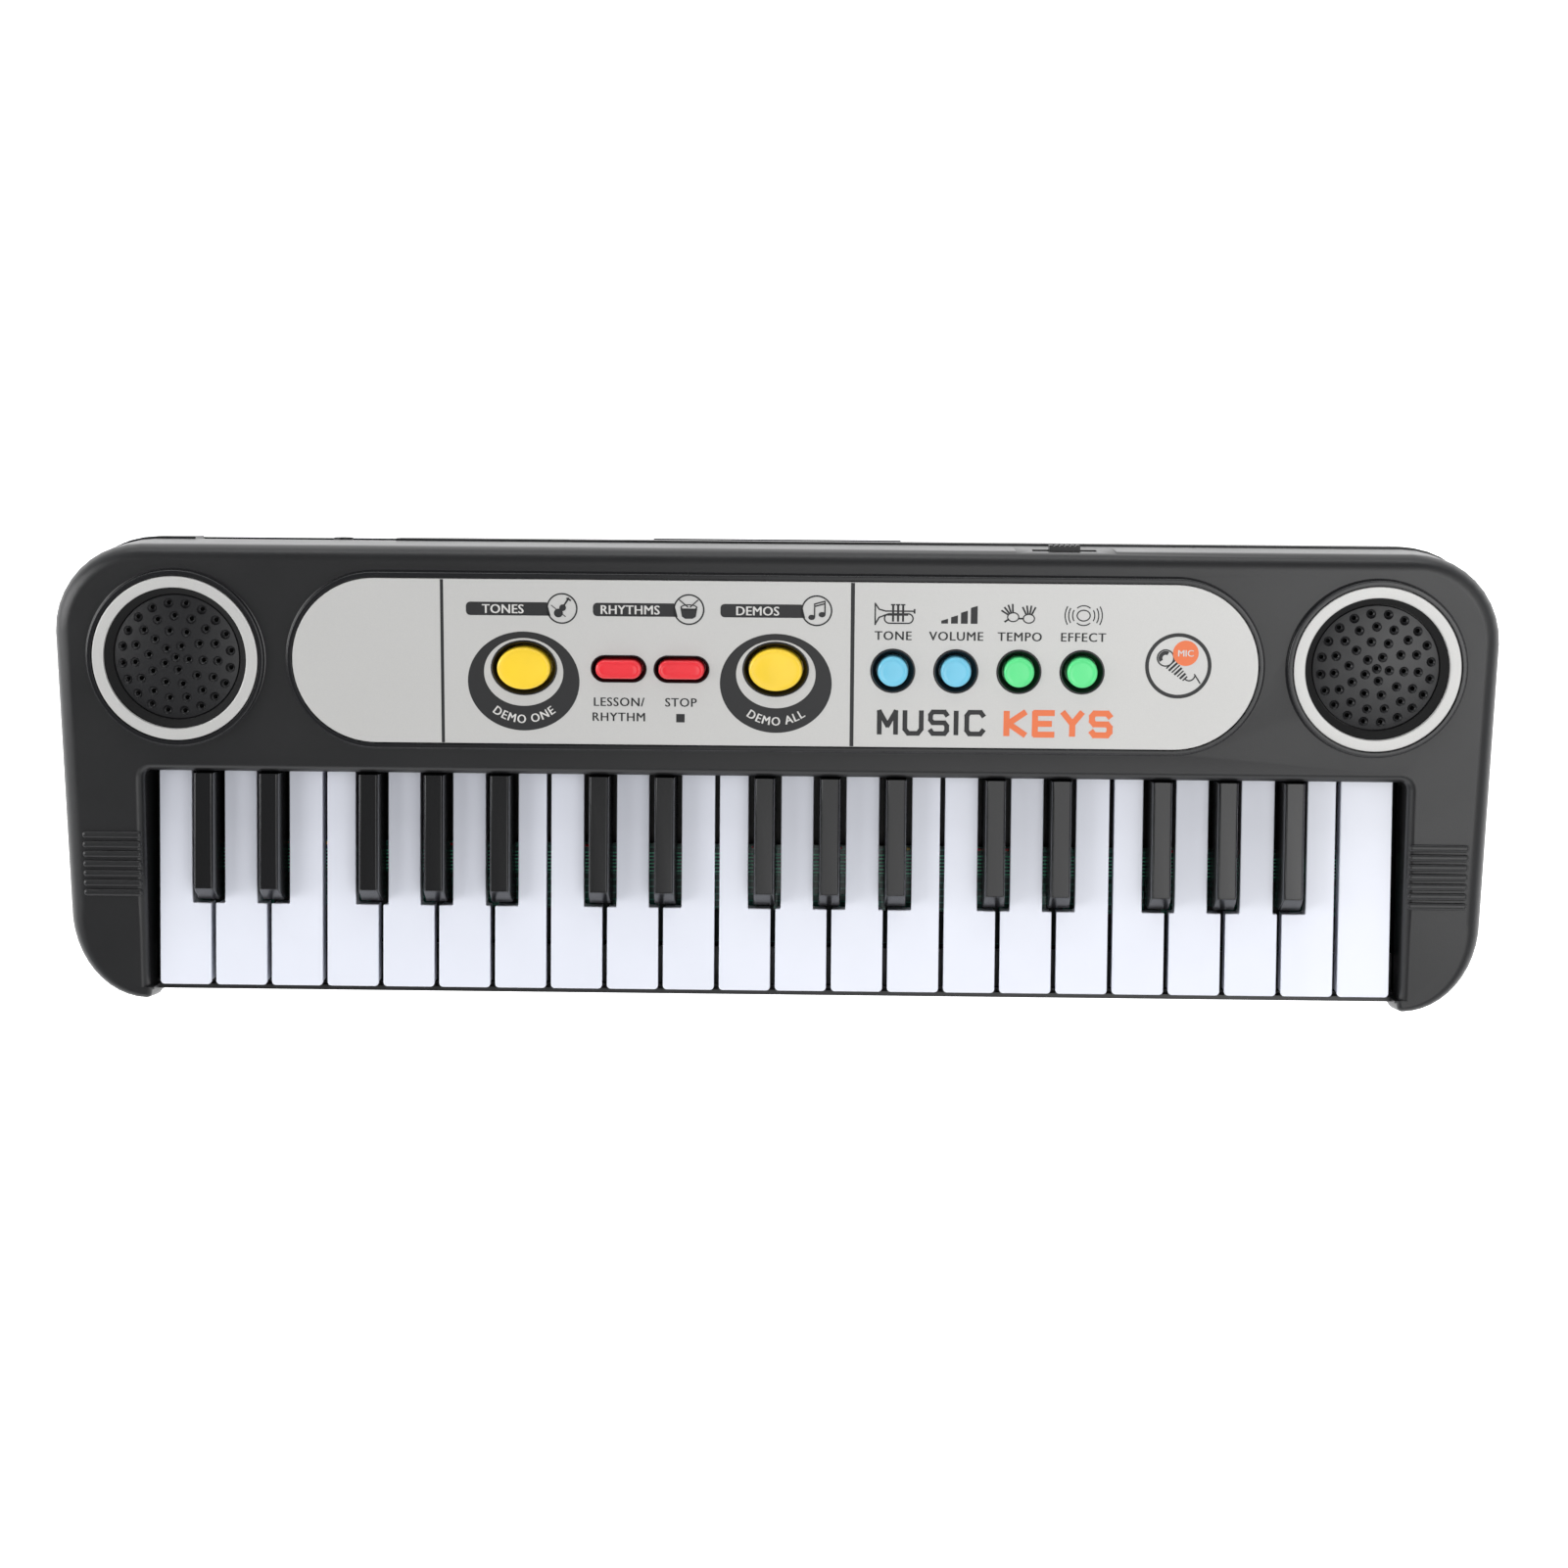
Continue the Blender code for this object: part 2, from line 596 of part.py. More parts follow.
def key_supports():
    """Posts under the key circuit board and under the pivot rail."""
    posts = []
    board_low = KEY_BOARD_TOP_Z - BOARD_THICKNESS - SEAT_GAP
    for x in SUPPORT_X:
        posts.append(post("post", x, KEY_BOARD_REAR_Y - 4.0, BOSS_RADIUS - 0.7, (FLOOR_Z - 0.5, board_low), 12))
        posts.append(box("post", (x - 4.0, x + 4.0), (RAIL_WEB_Y - 3.0, RAIL_WEB_Y + RAIL_WEB),
                         (FLOOR_Z - 0.5, RAIL_BASE_Z - SEAT_GAP)))
    return posts


def door_outline(grow):
    half_x = BAY_LENGTH / 2 + DOOR_LAP + grow
    half_y = BAY_WIDTH / 2 + DOOR_LAP + grow
    return (-half_x, half_x), (BAY_MIDDLE_Y - half_y, BAY_MIDDLE_Y + half_y)


def bay_box(name, grow, z):
    half_x = BAY_LENGTH / 2 + grow
    half_y = BAY_WIDTH / 2 + grow
    return box(name, (-half_x, half_x), (BAY_MIDDLE_Y - half_y, BAY_MIDDLE_Y + half_y), z)


def lower_screw_holes():
    holes = []
    for x, y in both_sides(SCREWS):
        holes.append(post("hole", x, y, SCREW_RADIUS + 0.3, (-1.0, SEAM_Z + 1.0), 10))
        holes.append(post("hole", x, y, SCREW_HEAD_RADIUS, (-1.0, FOOT_HEIGHT + SCREW_HEAD_DEPTH)))
    return holes


def make_lower_casing(dark):
    casing = cut(lower_outside(), lower_cavity())
    join(casing, *front_shelf())
    join(casing, *key_supports())
    for x, y in both_sides(SCREWS):
        join(casing, post("boss", x, y, BOSS_RADIUS, (FLOOR_Z - 0.5, SEAM_Z - SEAT_GAP)))
    frame_x, frame_y = door_outline(DOOR_LAP)
    join(casing, box("door_frame", frame_x, frame_y, (FLOOR_Z - 0.5, FLOOR_Z + DOOR_FRAME_THICKNESS)))
    join(casing, bay_box("bay", BAY_WALL, (FLOOR_Z, BAY_TOP_Z + BAY_WALL)))
    cut(casing, bay_box("bay_inside", 0.0, (0.0, BAY_TOP_Z)))
    door_x, door_y = door_outline(SEAT_GAP)
    cut(casing, box("door_recess", door_x, door_y, (0.0, FOOT_HEIGHT + DOOR_THICKNESS + SEAT_GAP)))
    for x, y in both_sides(FEET):
        join(casing, post("foot", x, y, FOOT_RADIUS, (0.0, FOOT_HEIGHT + 1.0), 24))
    low_x, high_x = SOCKET_RECESS
    join(casing, box("socket_wall", (low_x - WALL, high_x + WALL), (REAR_Y - SOCKET_RECESS_DEPTH - 2 * WALL,
                                                                   REAR_Y - LOWER_INSET - WALL / 2),
                     (FLOOR_Z - 0.5, SEAM_Z - SEAT_GAP)))
    cut(casing, box("socket_recess", SOCKET_RECESS, (REAR_Y - SOCKET_RECESS_DEPTH, REAR_Y + CUT_PAST),
                    (FOOT_HEIGHT + 1.5, SEAM_Z + 1.0)))
    nub = [[(SOCKET_X + px, y, SOCKET_Z + pz) for px, pz in circle(SOCKET_NUB_RADIUS, 20)]
           for y in (REAR_Y - SOCKET_RECESS_DEPTH - 1.0, REAR_Y - LOWER_INSET)]
    join(casing, loft("nub", nub))
    bore = [[(SOCKET_X + px, y, SOCKET_Z + pz) for px, pz in circle(SOCKET_RADIUS, 16)]
            for y in (REAR_Y - SOCKET_RECESS_DEPTH - 2 * WALL - 1.0, REAR_Y + 1.0)]
    cut(casing, loft("bore", bore))
    cut(casing, *lower_screw_holes())
    return finish(casing, dark)


def make_battery_door(dark):
    door_x, door_y = door_outline(0.0)
    return finish(box("battery_door", door_x, door_y, (FOOT_HEIGHT, FOOT_HEIGHT + DOOR_THICKNESS)), dark)


# Keys

def joint_x(index):
    """The line between white key index - 1 and white key index."""
    return (index - WHITE_KEYS / 2) * KEY_PITCH


def black_key_x(index):
    """Middle of the black key at joint index, or None where the scale has none."""
    name = OCTAVE[(index - 1) % len(OCTAVE)]
    if index in (0, WHITE_KEYS) or name not in BLACK_OFFSETS:
        return None
    return joint_x(index) + BLACK_OFFSETS[name]


def white_outline(index, inset, front, rear):
    """Plan of a white key, notched for the black keys beside it, and drawn in by inset."""
    left = joint_x(index) + KEY_GAP / 2 + inset
    right = joint_x(index + 1) - KEY_GAP / 2 - inset
    notch_y = NOTCH_FRONT_Y - inset
    chamfer = 1.0
    points = [(left + chamfer, front), (right - chamfer, front), (right, front + chamfer)]
    right_black = black_key_x(index + 1)
    if right_black is None:
        points.append((right, rear))
    else:
        neck = right_black - NOTCH_WIDTH / 2 - inset
        points += [(right, notch_y), (neck, notch_y), (neck, rear)]
    left_black = black_key_x(index)
    if left_black is None:
        points.append((left, rear))
    else:
        neck = left_black + NOTCH_WIDTH / 2 + inset
        points += [(neck, rear), (neck, notch_y), (left, notch_y)]
    points.append((left, front + chamfer))
    return points


def neck_range(index, inset):
    """Left and right of a white key between its black keys."""
    left = joint_x(index) + KEY_GAP / 2
    right = joint_x(index + 1) - KEY_GAP / 2
    if black_key_x(index) is not None:
        left = black_key_x(index) + NOTCH_WIDTH / 2
    if black_key_x(index + 1) is not None:
        right = black_key_x(index + 1) - NOTCH_WIDTH / 2
    return left + inset, right - inset


def make_white_key(index, white):
    body_rear = SILL_Y + WHITE_STEP_PAST_SILL
    name = f"white_key_{index + 1:02d}"
    outside = white_outline(index, 0.0, KEY_FRONT_Y, body_rear)
    inside = white_outline(index, KEY_WALL, KEY_FRONT_Y + KEY_WALL, body_rear - KEY_WALL)
    key = loft(name, [[(x, y, z) for x, y in outside] for z in (KEY_BOTTOM_Z, KEY_TOP_Z)])
    cut(key, loft("hollow", [[(x, y, z) for x, y in inside] for z in (KEY_BOTTOM_Z - 1.0, KEY_TOP_Z - KEY_WALL)]))
    tail_x = neck_range(index, 0.0)
    tail = box("tail", tail_x, (body_rear - KEY_WALL, TAIL_END_Y), (TAIL_BOTTOM_Z, TAIL_TOP_Z))
    middle = (tail_x[0] + tail_x[1]) / 2
    rise = (PIVOT_Y - WHITE_DOME_Y) * KEY_TRAVEL + STOP_CLEARANCE
    plunger = box("plunger", (middle - POST_SIZE / 2, middle + POST_SIZE / 2),
                  (WHITE_DOME_Y - POST_SIZE / 2, WHITE_DOME_Y + POST_SIZE / 2),
                  (DOME_TOP_Z + rise, KEY_TOP_Z - KEY_WALL / 2))
    return finish(join(key, tail, plunger), white)


def make_black_key(number, index, black):
    """A tapered block with a sloping front and a low tail that runs back under the sill."""
    x = black_key_x(index)
    rear = SILL_Y - BLACK_FRONT_GAP / 2
    front = NOTCH_FRONT_Y + BLACK_FRONT_GAP
    low = KEY_TOP_Z - BLACK_DEPTH
    top = KEY_TOP_Z + BLACK_HEIGHT
    shoulder = top - BLACK_SHOULDER_DROP
    sections = ((low, BLACK_BASE_WIDTH, 0.0), (KEY_TOP_Z, BLACK_BASE_WIDTH, 0.0),
                (shoulder, BLACK_SHOULDER_WIDTH, 0.88 * BLACK_FRONT_LEAN), (top, BLACK_TOP_WIDTH, BLACK_FRONT_LEAN))
    rings = []
    for z, width, lean in sections:
        half = width / 2
        rings.append([(x - half, front + lean, z), (x + half, front + lean, z), (x + half, rear, z), (x - half, rear, z)])
    key = loft(f"black_key_{number:02d}", rings)
    half = BLACK_BASE_WIDTH / 2
    tail = box("tail", (x - half, x + half), (rear - 2.0, TAIL_END_Y), (TAIL_BOTTOM_Z, TAIL_TOP_Z))
    rise = (PIVOT_Y - BLACK_DOME_Y) * KEY_TRAVEL + STOP_CLEARANCE
    plunger = box("plunger", (x - POST_SIZE / 2, x + POST_SIZE / 2),
                  (BLACK_DOME_Y - POST_SIZE / 2, BLACK_DOME_Y + POST_SIZE / 2), (DOME_TOP_Z + rise, low + 1.0))
    return finish(join(key, tail, plunger), black)


def make_keys(white, black):
    for index in range(WHITE_KEYS):
        pivot_at_hinge(make_white_key(index, white))
    number = 0
    for index in range(1, WHITE_KEYS):
        if black_key_x(index) is not None:
            number += 1
            pivot_at_hinge(make_black_key(number, index, black))


def move_origin(made, origin):
    """Puts the object's origin at a point without moving its shape."""
    shift = Vector(origin) * MM
    for vertex in made.data.vertices:
        vertex.co -= shift
    made.location = shift
    return made


def pivot_at_hinge(key):
    middle = sum((corner[0] for corner in key.bound_box), 0.0) / 8 / MM
    return move_origin(key, (middle, PIVOT_Y, PIVOT_Z))


def make_pivot_rail(grey):
    """A channel along the keys' tails, with a lip that holds them down."""
    web_rear = RAIL_WEB_Y + RAIL_WEB
    lip_low = TAIL_TOP_Z + 0.7
    lip_high = lip_low + RAIL_LIP
    profile = [(RAIL_WEB_Y - RAIL_FLANGE_REACH, RAIL_BASE_Z), (web_rear, RAIL_BASE_Z), (web_rear, lip_high),
               (RAIL_WEB_Y - RAIL_LIP_REACH, lip_high), (RAIL_WEB_Y - RAIL_LIP_REACH, lip_low), (RAIL_WEB_Y, lip_low),
               (RAIL_WEB_Y, RAIL_LOW_Z), (RAIL_WEB_Y - RAIL_FLANGE_REACH, RAIL_LOW_Z)]
    half = KEYBED_HALF - LINER_WALL
    return finish(loft("key_pivot_rail", [[(x, y, z) for y, z in profile] for x in (-half, half)]), grey)


def make_key_board(green):
    half = KEYBED_HALF - KEY_SIDE_CLEARANCE
    board = box("key_circuit_board", (-half, half), (KEY_BOARD_FRONT_Y, KEY_BOARD_REAR_Y),
                (KEY_BOARD_TOP_Z - BOARD_THICKNESS, KEY_BOARD_TOP_Z))
    return finish(board, green)


def dome(x, y, radius, base_z):
    rings = [(radius, base_z - STRIP_THICKNESS / 2), (radius, base_z + 0.6), (radius * 0.6, base_z + DOME_HEIGHT)]
    return loft("dome", [[(px, py, z) for px, py in circle(r, 12, x, y)] for r, z in rings])


def make_contact_strip(rubber):
    """A rubber comb on the board: a dome under each white key, and one on a tongue under each black key."""
    half = KEYBED_HALF - KEY_SIDE_CLEARANCE - 1.0
    front = KEY_BOARD_FRONT_Y + SEAT_GAP
    rear = front + STRIP_WIDTH
    tongue_end = BLACK_DOME_Y + BLACK_DOME_RADIUS + 0.4
    tongue_half = BLACK_DOME_RADIUS + 0.2
    blacks = [black_key_x(i) for i in range(1, WHITE_KEYS) if black_key_x(i) is not None]
    outline = [(half, rear), (half, front), (-half, front), (-half, rear)]
    for x in blacks:
        outline += [(x - tongue_half, rear), (x - tongue_half, tongue_end), (x + tongue_half, tongue_end),
                    (x + tongue_half, rear)]
    base = KEY_BOARD_TOP_Z + SEAT_GAP
    top = base + STRIP_THICKNESS
    strip = loft("key_contact_strip", [[(x, y, z) for x, y in outline] for z in (base, top)])
    for index in range(WHITE_KEYS):
        low_x, high_x = neck_range(index, 0.0)
        join(strip, dome((low_x + high_x) / 2, WHITE_DOME_Y, WHITE_DOME_RADIUS, top))
    for x in blacks:
        join(strip, dome(x, BLACK_DOME_Y, BLACK_DOME_RADIUS, top))
    return finish(strip, rubber)


# Deck furniture

def make_control_panel(silver):
    levels = (-PLATE_THICKNESS, 0.0)
    panel = loft("control_panel", [[on_deck(x, s, n) for x, s in panel_outline(0.0)] for n in levels])
    for name, shape, x, s, _, _, hole_x, hole_s in BUTTONS:
        outline = button_outline(shape, x, s, hole_x, hole_s)
        cut(panel, loft(name + "_hole", [[on_deck(px, ps, n) for px, ps in outline] for n in (-5.0, 5.0)]))
    return finish(panel, silver)


def make_speaker_ring(side, word, silver):
    x = side * SPEAKER_X
    ring = deck_turned(f"speaker_ring_{word}", x, ((DISC_RADIUS, -PLATE_THICKNESS), (DISC_RADIUS, 0.0)), 48)
    cut(ring, deck_turned("inside", x, ((RING_INNER_RADIUS, -5.0), (RING_INNER_RADIUS, 5.0)), 48))
    return finish(ring, silver)


def make_grille(side, word, dark):
    """A shallow dome that shows in the ring, on a flange that sits under the deck."""
    flange_top = DECK_UNDERSIDE - SEAT_GAP
    flange_low = flange_top - GRILLE_THICKNESS
    outside = [(GRILLE_FLANGE_RADIUS, flange_low), (GRILLE_FLANGE_RADIUS, flange_top), (GRILLE_RADIUS, flange_top),
               (GRILLE_RADIUS, -GRILLE_SINK)]
    for share in (0.8, 0.55, 0.3, 0.08):
        outside.append((GRILLE_RADIUS * share, -GRILLE_SINK + GRILLE_DOME * (1 - share ** 2)))
    grille = deck_turned(f"speaker_grille_{word}", side * SPEAKER_X, outside)
    hollow_radius = GRILLE_RADIUS - GRILLE_THICKNESS
    hollow = [(hollow_radius, flange_low - 1.0), (hollow_radius, -GRILLE_SINK - GRILLE_THICKNESS)]
    for share in (0.55, 0.1):
        hollow.append((hollow_radius * share, -GRILLE_SINK - GRILLE_THICKNESS + GRILLE_DOME * (1 - share ** 2)))
    cut(grille, deck_turned("hollow", side * SPEAKER_X, hollow))
    return finish(grille, dark)


def make_driver(side, word, steel):
    """A small loudspeaker: flat rim, conical basket and magnet."""
    top = DECK_UNDERSIDE - 2 * SEAT_GAP - GRILLE_THICKNESS
    low = top - DRIVER_DEPTH
    outside = ((MAGNET_RADIUS, low), (MAGNET_RADIUS, low + MAGNET_DEPTH), (DRIVER_RADIUS * 0.7, low + MAGNET_DEPTH),
               (DRIVER_RADIUS * 0.92, top - 1.2), (DRIVER_RADIUS, top - 1.2), (DRIVER_RADIUS, top))
    driver = deck_turned(f"speaker_driver_{word}", side * SPEAKER_X, outside, 32)
    cone = ((5.0, top - 6.0), (5.5, top - 5.0), (DRIVER_RADIUS - 2.5, top + 0.5))
    cut(driver, deck_turned("cone", side * SPEAKER_X, cone, 32))
    return finish(driver, steel)


def make_button(spec, finish_material):
    """A cap with a rounded top, the flange that keeps it in the deck, and a stem for its switch."""
    name, shape, x, s, cap_x, cap_s, _, _ = spec
    flange_top = DECK_UNDERSIDE - SEAT_GAP
    flange_low = flange_top - BUTTON_FLANGE
    stem_in = min(cap_x, cap_s) / 2
    levels = ((flange_low - STEM_LENGTH, -stem_in), (flange_low, -stem_in), (flange_low, BUTTON_FLANGE),
              (flange_top, BUTTON_FLANGE), (flange_top, 0.0), (BUTTON_PROUD - BUTTON_ROUND, 0.0),
              (BUTTON_PROUD - 0.3 * BUTTON_ROUND, -0.3 * BUTTON_ROUND), (BUTTON_PROUD, -BUTTON_ROUND))
    rings = []
    for n, grow in levels:
        outline = button_outline(shape, x, s, cap_x + grow, cap_s + grow)
        rings.append([on_deck(px, ps, n) for px, ps in outline])
    return move_origin(finish(loft(name, rings), finish_material), on_deck(x, s, 0.0))


def make_main_board(green):
    """The circuit board under the panel, with its push switches, chip and the slide switch on a tab."""
    low = BOARD_TOP - BOARD_THICKNESS
    board = deck_box("main_circuit_board", (BOARD_LEFT_X, BOARD_RIGHT_X), (-BOARD_HALF_WIDTH, BOARD_HALF_WIDTH),
                     (low, BOARD_TOP))
    half = SWITCH_SIZE / 2
    for _, _, x, s, cap_x, cap_s, _, _ in BUTTONS:
        reach = min(half, cap_s)
        join(board, deck_box("switch", (x - half, x + half), (s - reach, s + reach),
                             (BOARD_TOP - 0.5, BOARD_TOP + SWITCH_HEIGHT)))
    join(board, deck_box("chip", (8.0, 22.0), (6.0, 15.0), (BOARD_TOP - 0.5, BOARD_TOP + 2.0)))
    body_rear = slide_back_y() - SLIDE_FLANGE - 2 * SEAT_GAP
    body_half = SLIDE_SLOT_WIDTH / 2 - 2.0
    tab_end = (body_rear - SPEAKER_Y) / cos(DECK_TILT) - 4.0
    join(board, deck_box("tab", (SLIDE_X - body_half + 1.0, SLIDE_X + body_half - 1.0),
                         (BOARD_HALF_WIDTH - 1.0, tab_end), (low + 0.1, BOARD_TOP - 0.1)))
    join(board, box("slide_body", (SLIDE_X - body_half, SLIDE_X + body_half), (body_rear - SLIDE_BODY_DEPTH, body_rear),
                    (SLIDE_SLOT_Z - SLIDE_SLOT_HEIGHT, SLIDE_SLOT_Z + SLIDE_SLOT_HEIGHT / 2)))
    return finish(board, green)


def slide_back_y():
    """Inner face of the rear wall at the slide switch."""
    return UPPER_REAR_Y - WALL - WALL_DRAFT


def make_slide_knob(black):
    half = SLIDE_KNOB_WIDTH / 2
    half_z = SLIDE_SLOT_HEIGHT / 2 - SEAT_GAP
    flange_rear = slide_back_y() - SEAT_GAP
    knob = box("power_switch_knob", (SLIDE_X - half, SLIDE_X + half), (flange_rear - SLIDE_FLANGE, UPPER_REAR_Y + 0.7),
               (SLIDE_SLOT_Z - half_z, SLIDE_SLOT_Z + half_z))
    flange_half = SLIDE_SLOT_WIDTH / 2 + 1.0
    join(knob, box("flange", (SLIDE_X - flange_half, SLIDE_X + flange_half), (flange_rear - SLIDE_FLANGE, flange_rear),
                   (SLIDE_SLOT_Z - half_z - 1.2, SLIDE_SLOT_Z + half_z + 1.2)))
    return move_origin(finish(knob, black), (SLIDE_X, UPPER_REAR_Y, SLIDE_SLOT_Z))


def main():
    clear_scene()
    dark = material("dark_abs", (0.033, 0.033, 0.036), 0.5)
    grille_black = material("grille_black", (0.012, 0.012, 0.014), 0.55)
    white = material("key_white", (0.80, 0.82, 0.88), 0.3)
    black = material("key_black", (0.010, 0.010, 0.011), 0.3)
    silver = material("silver_print", (0.55, 0.55, 0.54), 0.45)
    green = material("circuit_green", (0.02, 0.15, 0.09), 0.4)
    rubber = material("contact_rubber", (0.02, 0.02, 0.022), 0.8)
    steel = material("speaker_steel", (0.30, 0.30, 0.31), 0.4, 0.8)
    make_upper_casing(dark)
    make_lower_casing(dark)
    make_battery_door(dark)
    make_control_panel(silver)
    for side, word in ((-1, "left"), (1, "right")):
        make_speaker_ring(side, word, silver)
        make_grille(side, word, grille_black)
        make_driver(side, word, steel)
    for spec in BUTTONS:
        word = spec[0].split("_")[0]
        make_button(spec, material(spec[0], BUTTON_COLOURS[word], 0.35))
    make_main_board(green)
    make_slide_knob(black)
    make_key_board(green)
    make_contact_strip(rubber)
    make_pivot_rail(dark)
    make_keys(white, black)


main()
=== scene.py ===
"""Looks of the toy electronic keyboard.

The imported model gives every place. Each sub-assembly below builds its pieces from the boxes of the
CAD nodes, gives them procedural finishes and hangs them on the CAD bodies. Lengths are written in
millimetres and turned into metres when a mesh is made. The deck slopes, so what lies on it is
placed by (x, s, n): s runs up the slope and n stands square to the control panel's face.
"""
from __future__ import annotations

import json
import logging
import math
from dataclasses import dataclass
from enum import Enum
from typing import Callable, Sequence

import bmesh
import bpy
from mathutils import Matrix, Vector

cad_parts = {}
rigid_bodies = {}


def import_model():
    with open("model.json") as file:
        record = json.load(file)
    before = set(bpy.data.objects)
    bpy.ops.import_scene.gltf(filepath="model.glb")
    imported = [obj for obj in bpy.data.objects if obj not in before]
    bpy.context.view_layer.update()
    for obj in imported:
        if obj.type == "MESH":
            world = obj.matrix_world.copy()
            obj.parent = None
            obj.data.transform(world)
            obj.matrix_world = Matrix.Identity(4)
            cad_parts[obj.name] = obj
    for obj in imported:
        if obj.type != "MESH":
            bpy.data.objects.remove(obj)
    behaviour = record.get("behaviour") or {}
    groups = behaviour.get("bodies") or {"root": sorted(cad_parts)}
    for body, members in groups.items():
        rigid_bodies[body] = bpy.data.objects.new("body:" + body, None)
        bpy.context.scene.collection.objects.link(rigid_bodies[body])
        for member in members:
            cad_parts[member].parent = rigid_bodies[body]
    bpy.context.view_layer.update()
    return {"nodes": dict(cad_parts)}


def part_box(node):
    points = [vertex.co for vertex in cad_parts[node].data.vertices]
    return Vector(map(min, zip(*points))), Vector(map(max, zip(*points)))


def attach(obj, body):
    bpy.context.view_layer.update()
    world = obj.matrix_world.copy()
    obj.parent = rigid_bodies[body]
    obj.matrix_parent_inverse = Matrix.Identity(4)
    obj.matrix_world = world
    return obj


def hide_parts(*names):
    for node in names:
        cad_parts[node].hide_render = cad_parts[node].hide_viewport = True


LOG = logging.getLogger("keyboard")
MM = 0.001
Point = tuple[float, float]
Ring = list[tuple[float, float, float]]
BMesh = bmesh.types.BMesh
Material = bpy.types.Material
Node = bpy.types.Node
Object = bpy.types.Object
Sockets = bpy.types.bpy_prop_collection
Tree = bpy.types.NodeTree

# Values that the looks share with the CAD source
DECK_TILT = math.radians(5.6)
PLATE_THICKNESS = 1.0
DISC_RADIUS = 23.6
RING_INNER_RADIUS = 20.2
PANEL_HALF_LENGTH = 136.0
DECK_THICKNESS = 2.2
RAISE = 1.7
NOTCH_WIDTH = 9.3
NOTCH_FRONT = -38.5
SILL_Y = 0.4
KEY_DEPTH = 8.0
BUTTON_PROUD = 2.0
FUNNEL_DEPTH = 3.0
GRILLE_RADIUS = 17.9
GRILLE_SINK = 3.2
GRILLE_DOME = 1.5
RIB_COUNT = 7
RIB_PITCH = 2.8
RIB_MIDDLE_Y = -26.8

# Values of the looks alone, in millimetres
RIB_MIDDLE_X, RIB_REACH = 188.9, 7.4
FLANGE_TOP = -RAISE - DECK_THICKNESS - 0.3  # top of the flanges under the deck
TAIL_TOP = 23.6
TAIL_THICKNESS = 5.6
GRILLE_INSIDE = 16.7
PART_COUNT, PART_PITCH = 42, 8.1
SOCKET_X, SOCKET_Z = -126.0, 10.0
SCREW_PLACES = ((192.5, -46.0), (193.0, 5.0), (120.0, 59.5), (44.0, 59.5))
LOWEST_PRINT = -0.05
PRINT_LAYER = 0.03
STROKE_STEP = 0.002  # what keeps the tops of crossing strokes apart
SIDES = ((-1, "left"), (1, "right"))
WHITES = [f"white_key_{number:02d}" for number in range(1, 23)]
BLACKS = [f"black_key_{number:02d}" for number in range(1, 16)]


# ---------------------------------------------------------------- materials

class Effect(Enum):
    """What a finish shows besides its plain colour."""

    PLAIN = "plain"
    BRUSHED = "brushed"
    METALLIC_PRINT = "metallic print"
    CIRCUIT = "circuit"


@dataclass(frozen=True)
class Finish:
    """One surface finish, for one material slot of the record."""

    name: str
    slot: str
    colour: tuple[float, ...]
    roughness: float
    metallic: float = 0.0
    coat: float = 0.0
    grain: float = 2500.0  # size of the moulded grain, in cells per metre
    depth: float = 0.05  # strength of the grain's bump
    spread: float = 0.05  # how far roughness wanders either way
    mottle: float = 0.04  # share by which the colour wanders
    effect: Effect = Effect.PLAIN


def button_plastic(name: str, *colour: float) -> Finish:
    """The glossy plastic of a button."""
    return Finish(name, name, colour, 0.30, coat=0.2)


def ink(name: str, slot: str, *colour: float) -> Finish:
    """Printing ink."""
    return Finish(name, slot, colour, 0.45, grain=5000.0, depth=0.01)


CASING = Finish("casing_plastic", "casing_plastic", (0.0105, 0.0105, 0.0112), 0.36,
                grain=3200.0, depth=0.10, spread=0.06)
GRILLE = Finish("grille_plastic", "grille_plastic", (0.0085, 0.0085, 0.0095), 0.36, grain=3000.0, depth=0.08)
# Casing plastic made darker than the casing itself, as painted shade in the button dishes and on the rims
# round the panel and the speaker rings.
COLLAR_PAINTED_SHADE = Finish("collar_plastic_painted_shade", "casing_plastic", (0.007, 0.007, 0.008), 0.26, grain=3000.0, depth=0.04)
WHITE_KEY = Finish("key_white_plastic", "key_white_plastic", (0.80, 0.82, 0.90), 0.22,
                   coat=0.25, grain=900.0, depth=0.015, spread=0.02, mottle=0.008)
BLACK_KEY = Finish("key_black_plastic", "key_black_plastic", (0.0060, 0.0060, 0.0065), 0.24,
                   coat=0.02, grain=1500.0, depth=0.03, spread=0.02)
# Near black: the driver's black paper cone, and the liners laid in the speaker funnels as painted shade.
BLACK_PAPER_AND_PAINTED_SHADE = Finish("black_paper_and_painted_shade", "grille_plastic", (0.002, 0.002, 0.002), 0.90)
SILVER = Finish("silver_panel", "silver_panel", (0.56, 0.555, 0.54), 0.42,
                metallic=0.25, grain=9000.0, depth=0.02, effect=Effect.METALLIC_PRINT)
YELLOW = button_plastic("yellow_plastic", 0.93, 0.63, 0.03)
RED = button_plastic("red_plastic", 0.80, 0.026, 0.038)
BLUE = button_plastic("blue_plastic", 0.165, 0.56, 0.76)
GREEN = button_plastic("green_plastic", 0.10, 0.76, 0.25)
BOARD = Finish("circuit_board", "circuit_board", (0.03, 0.17, 0.13), 0.30, coat=0.3, effect=Effect.CIRCUIT)
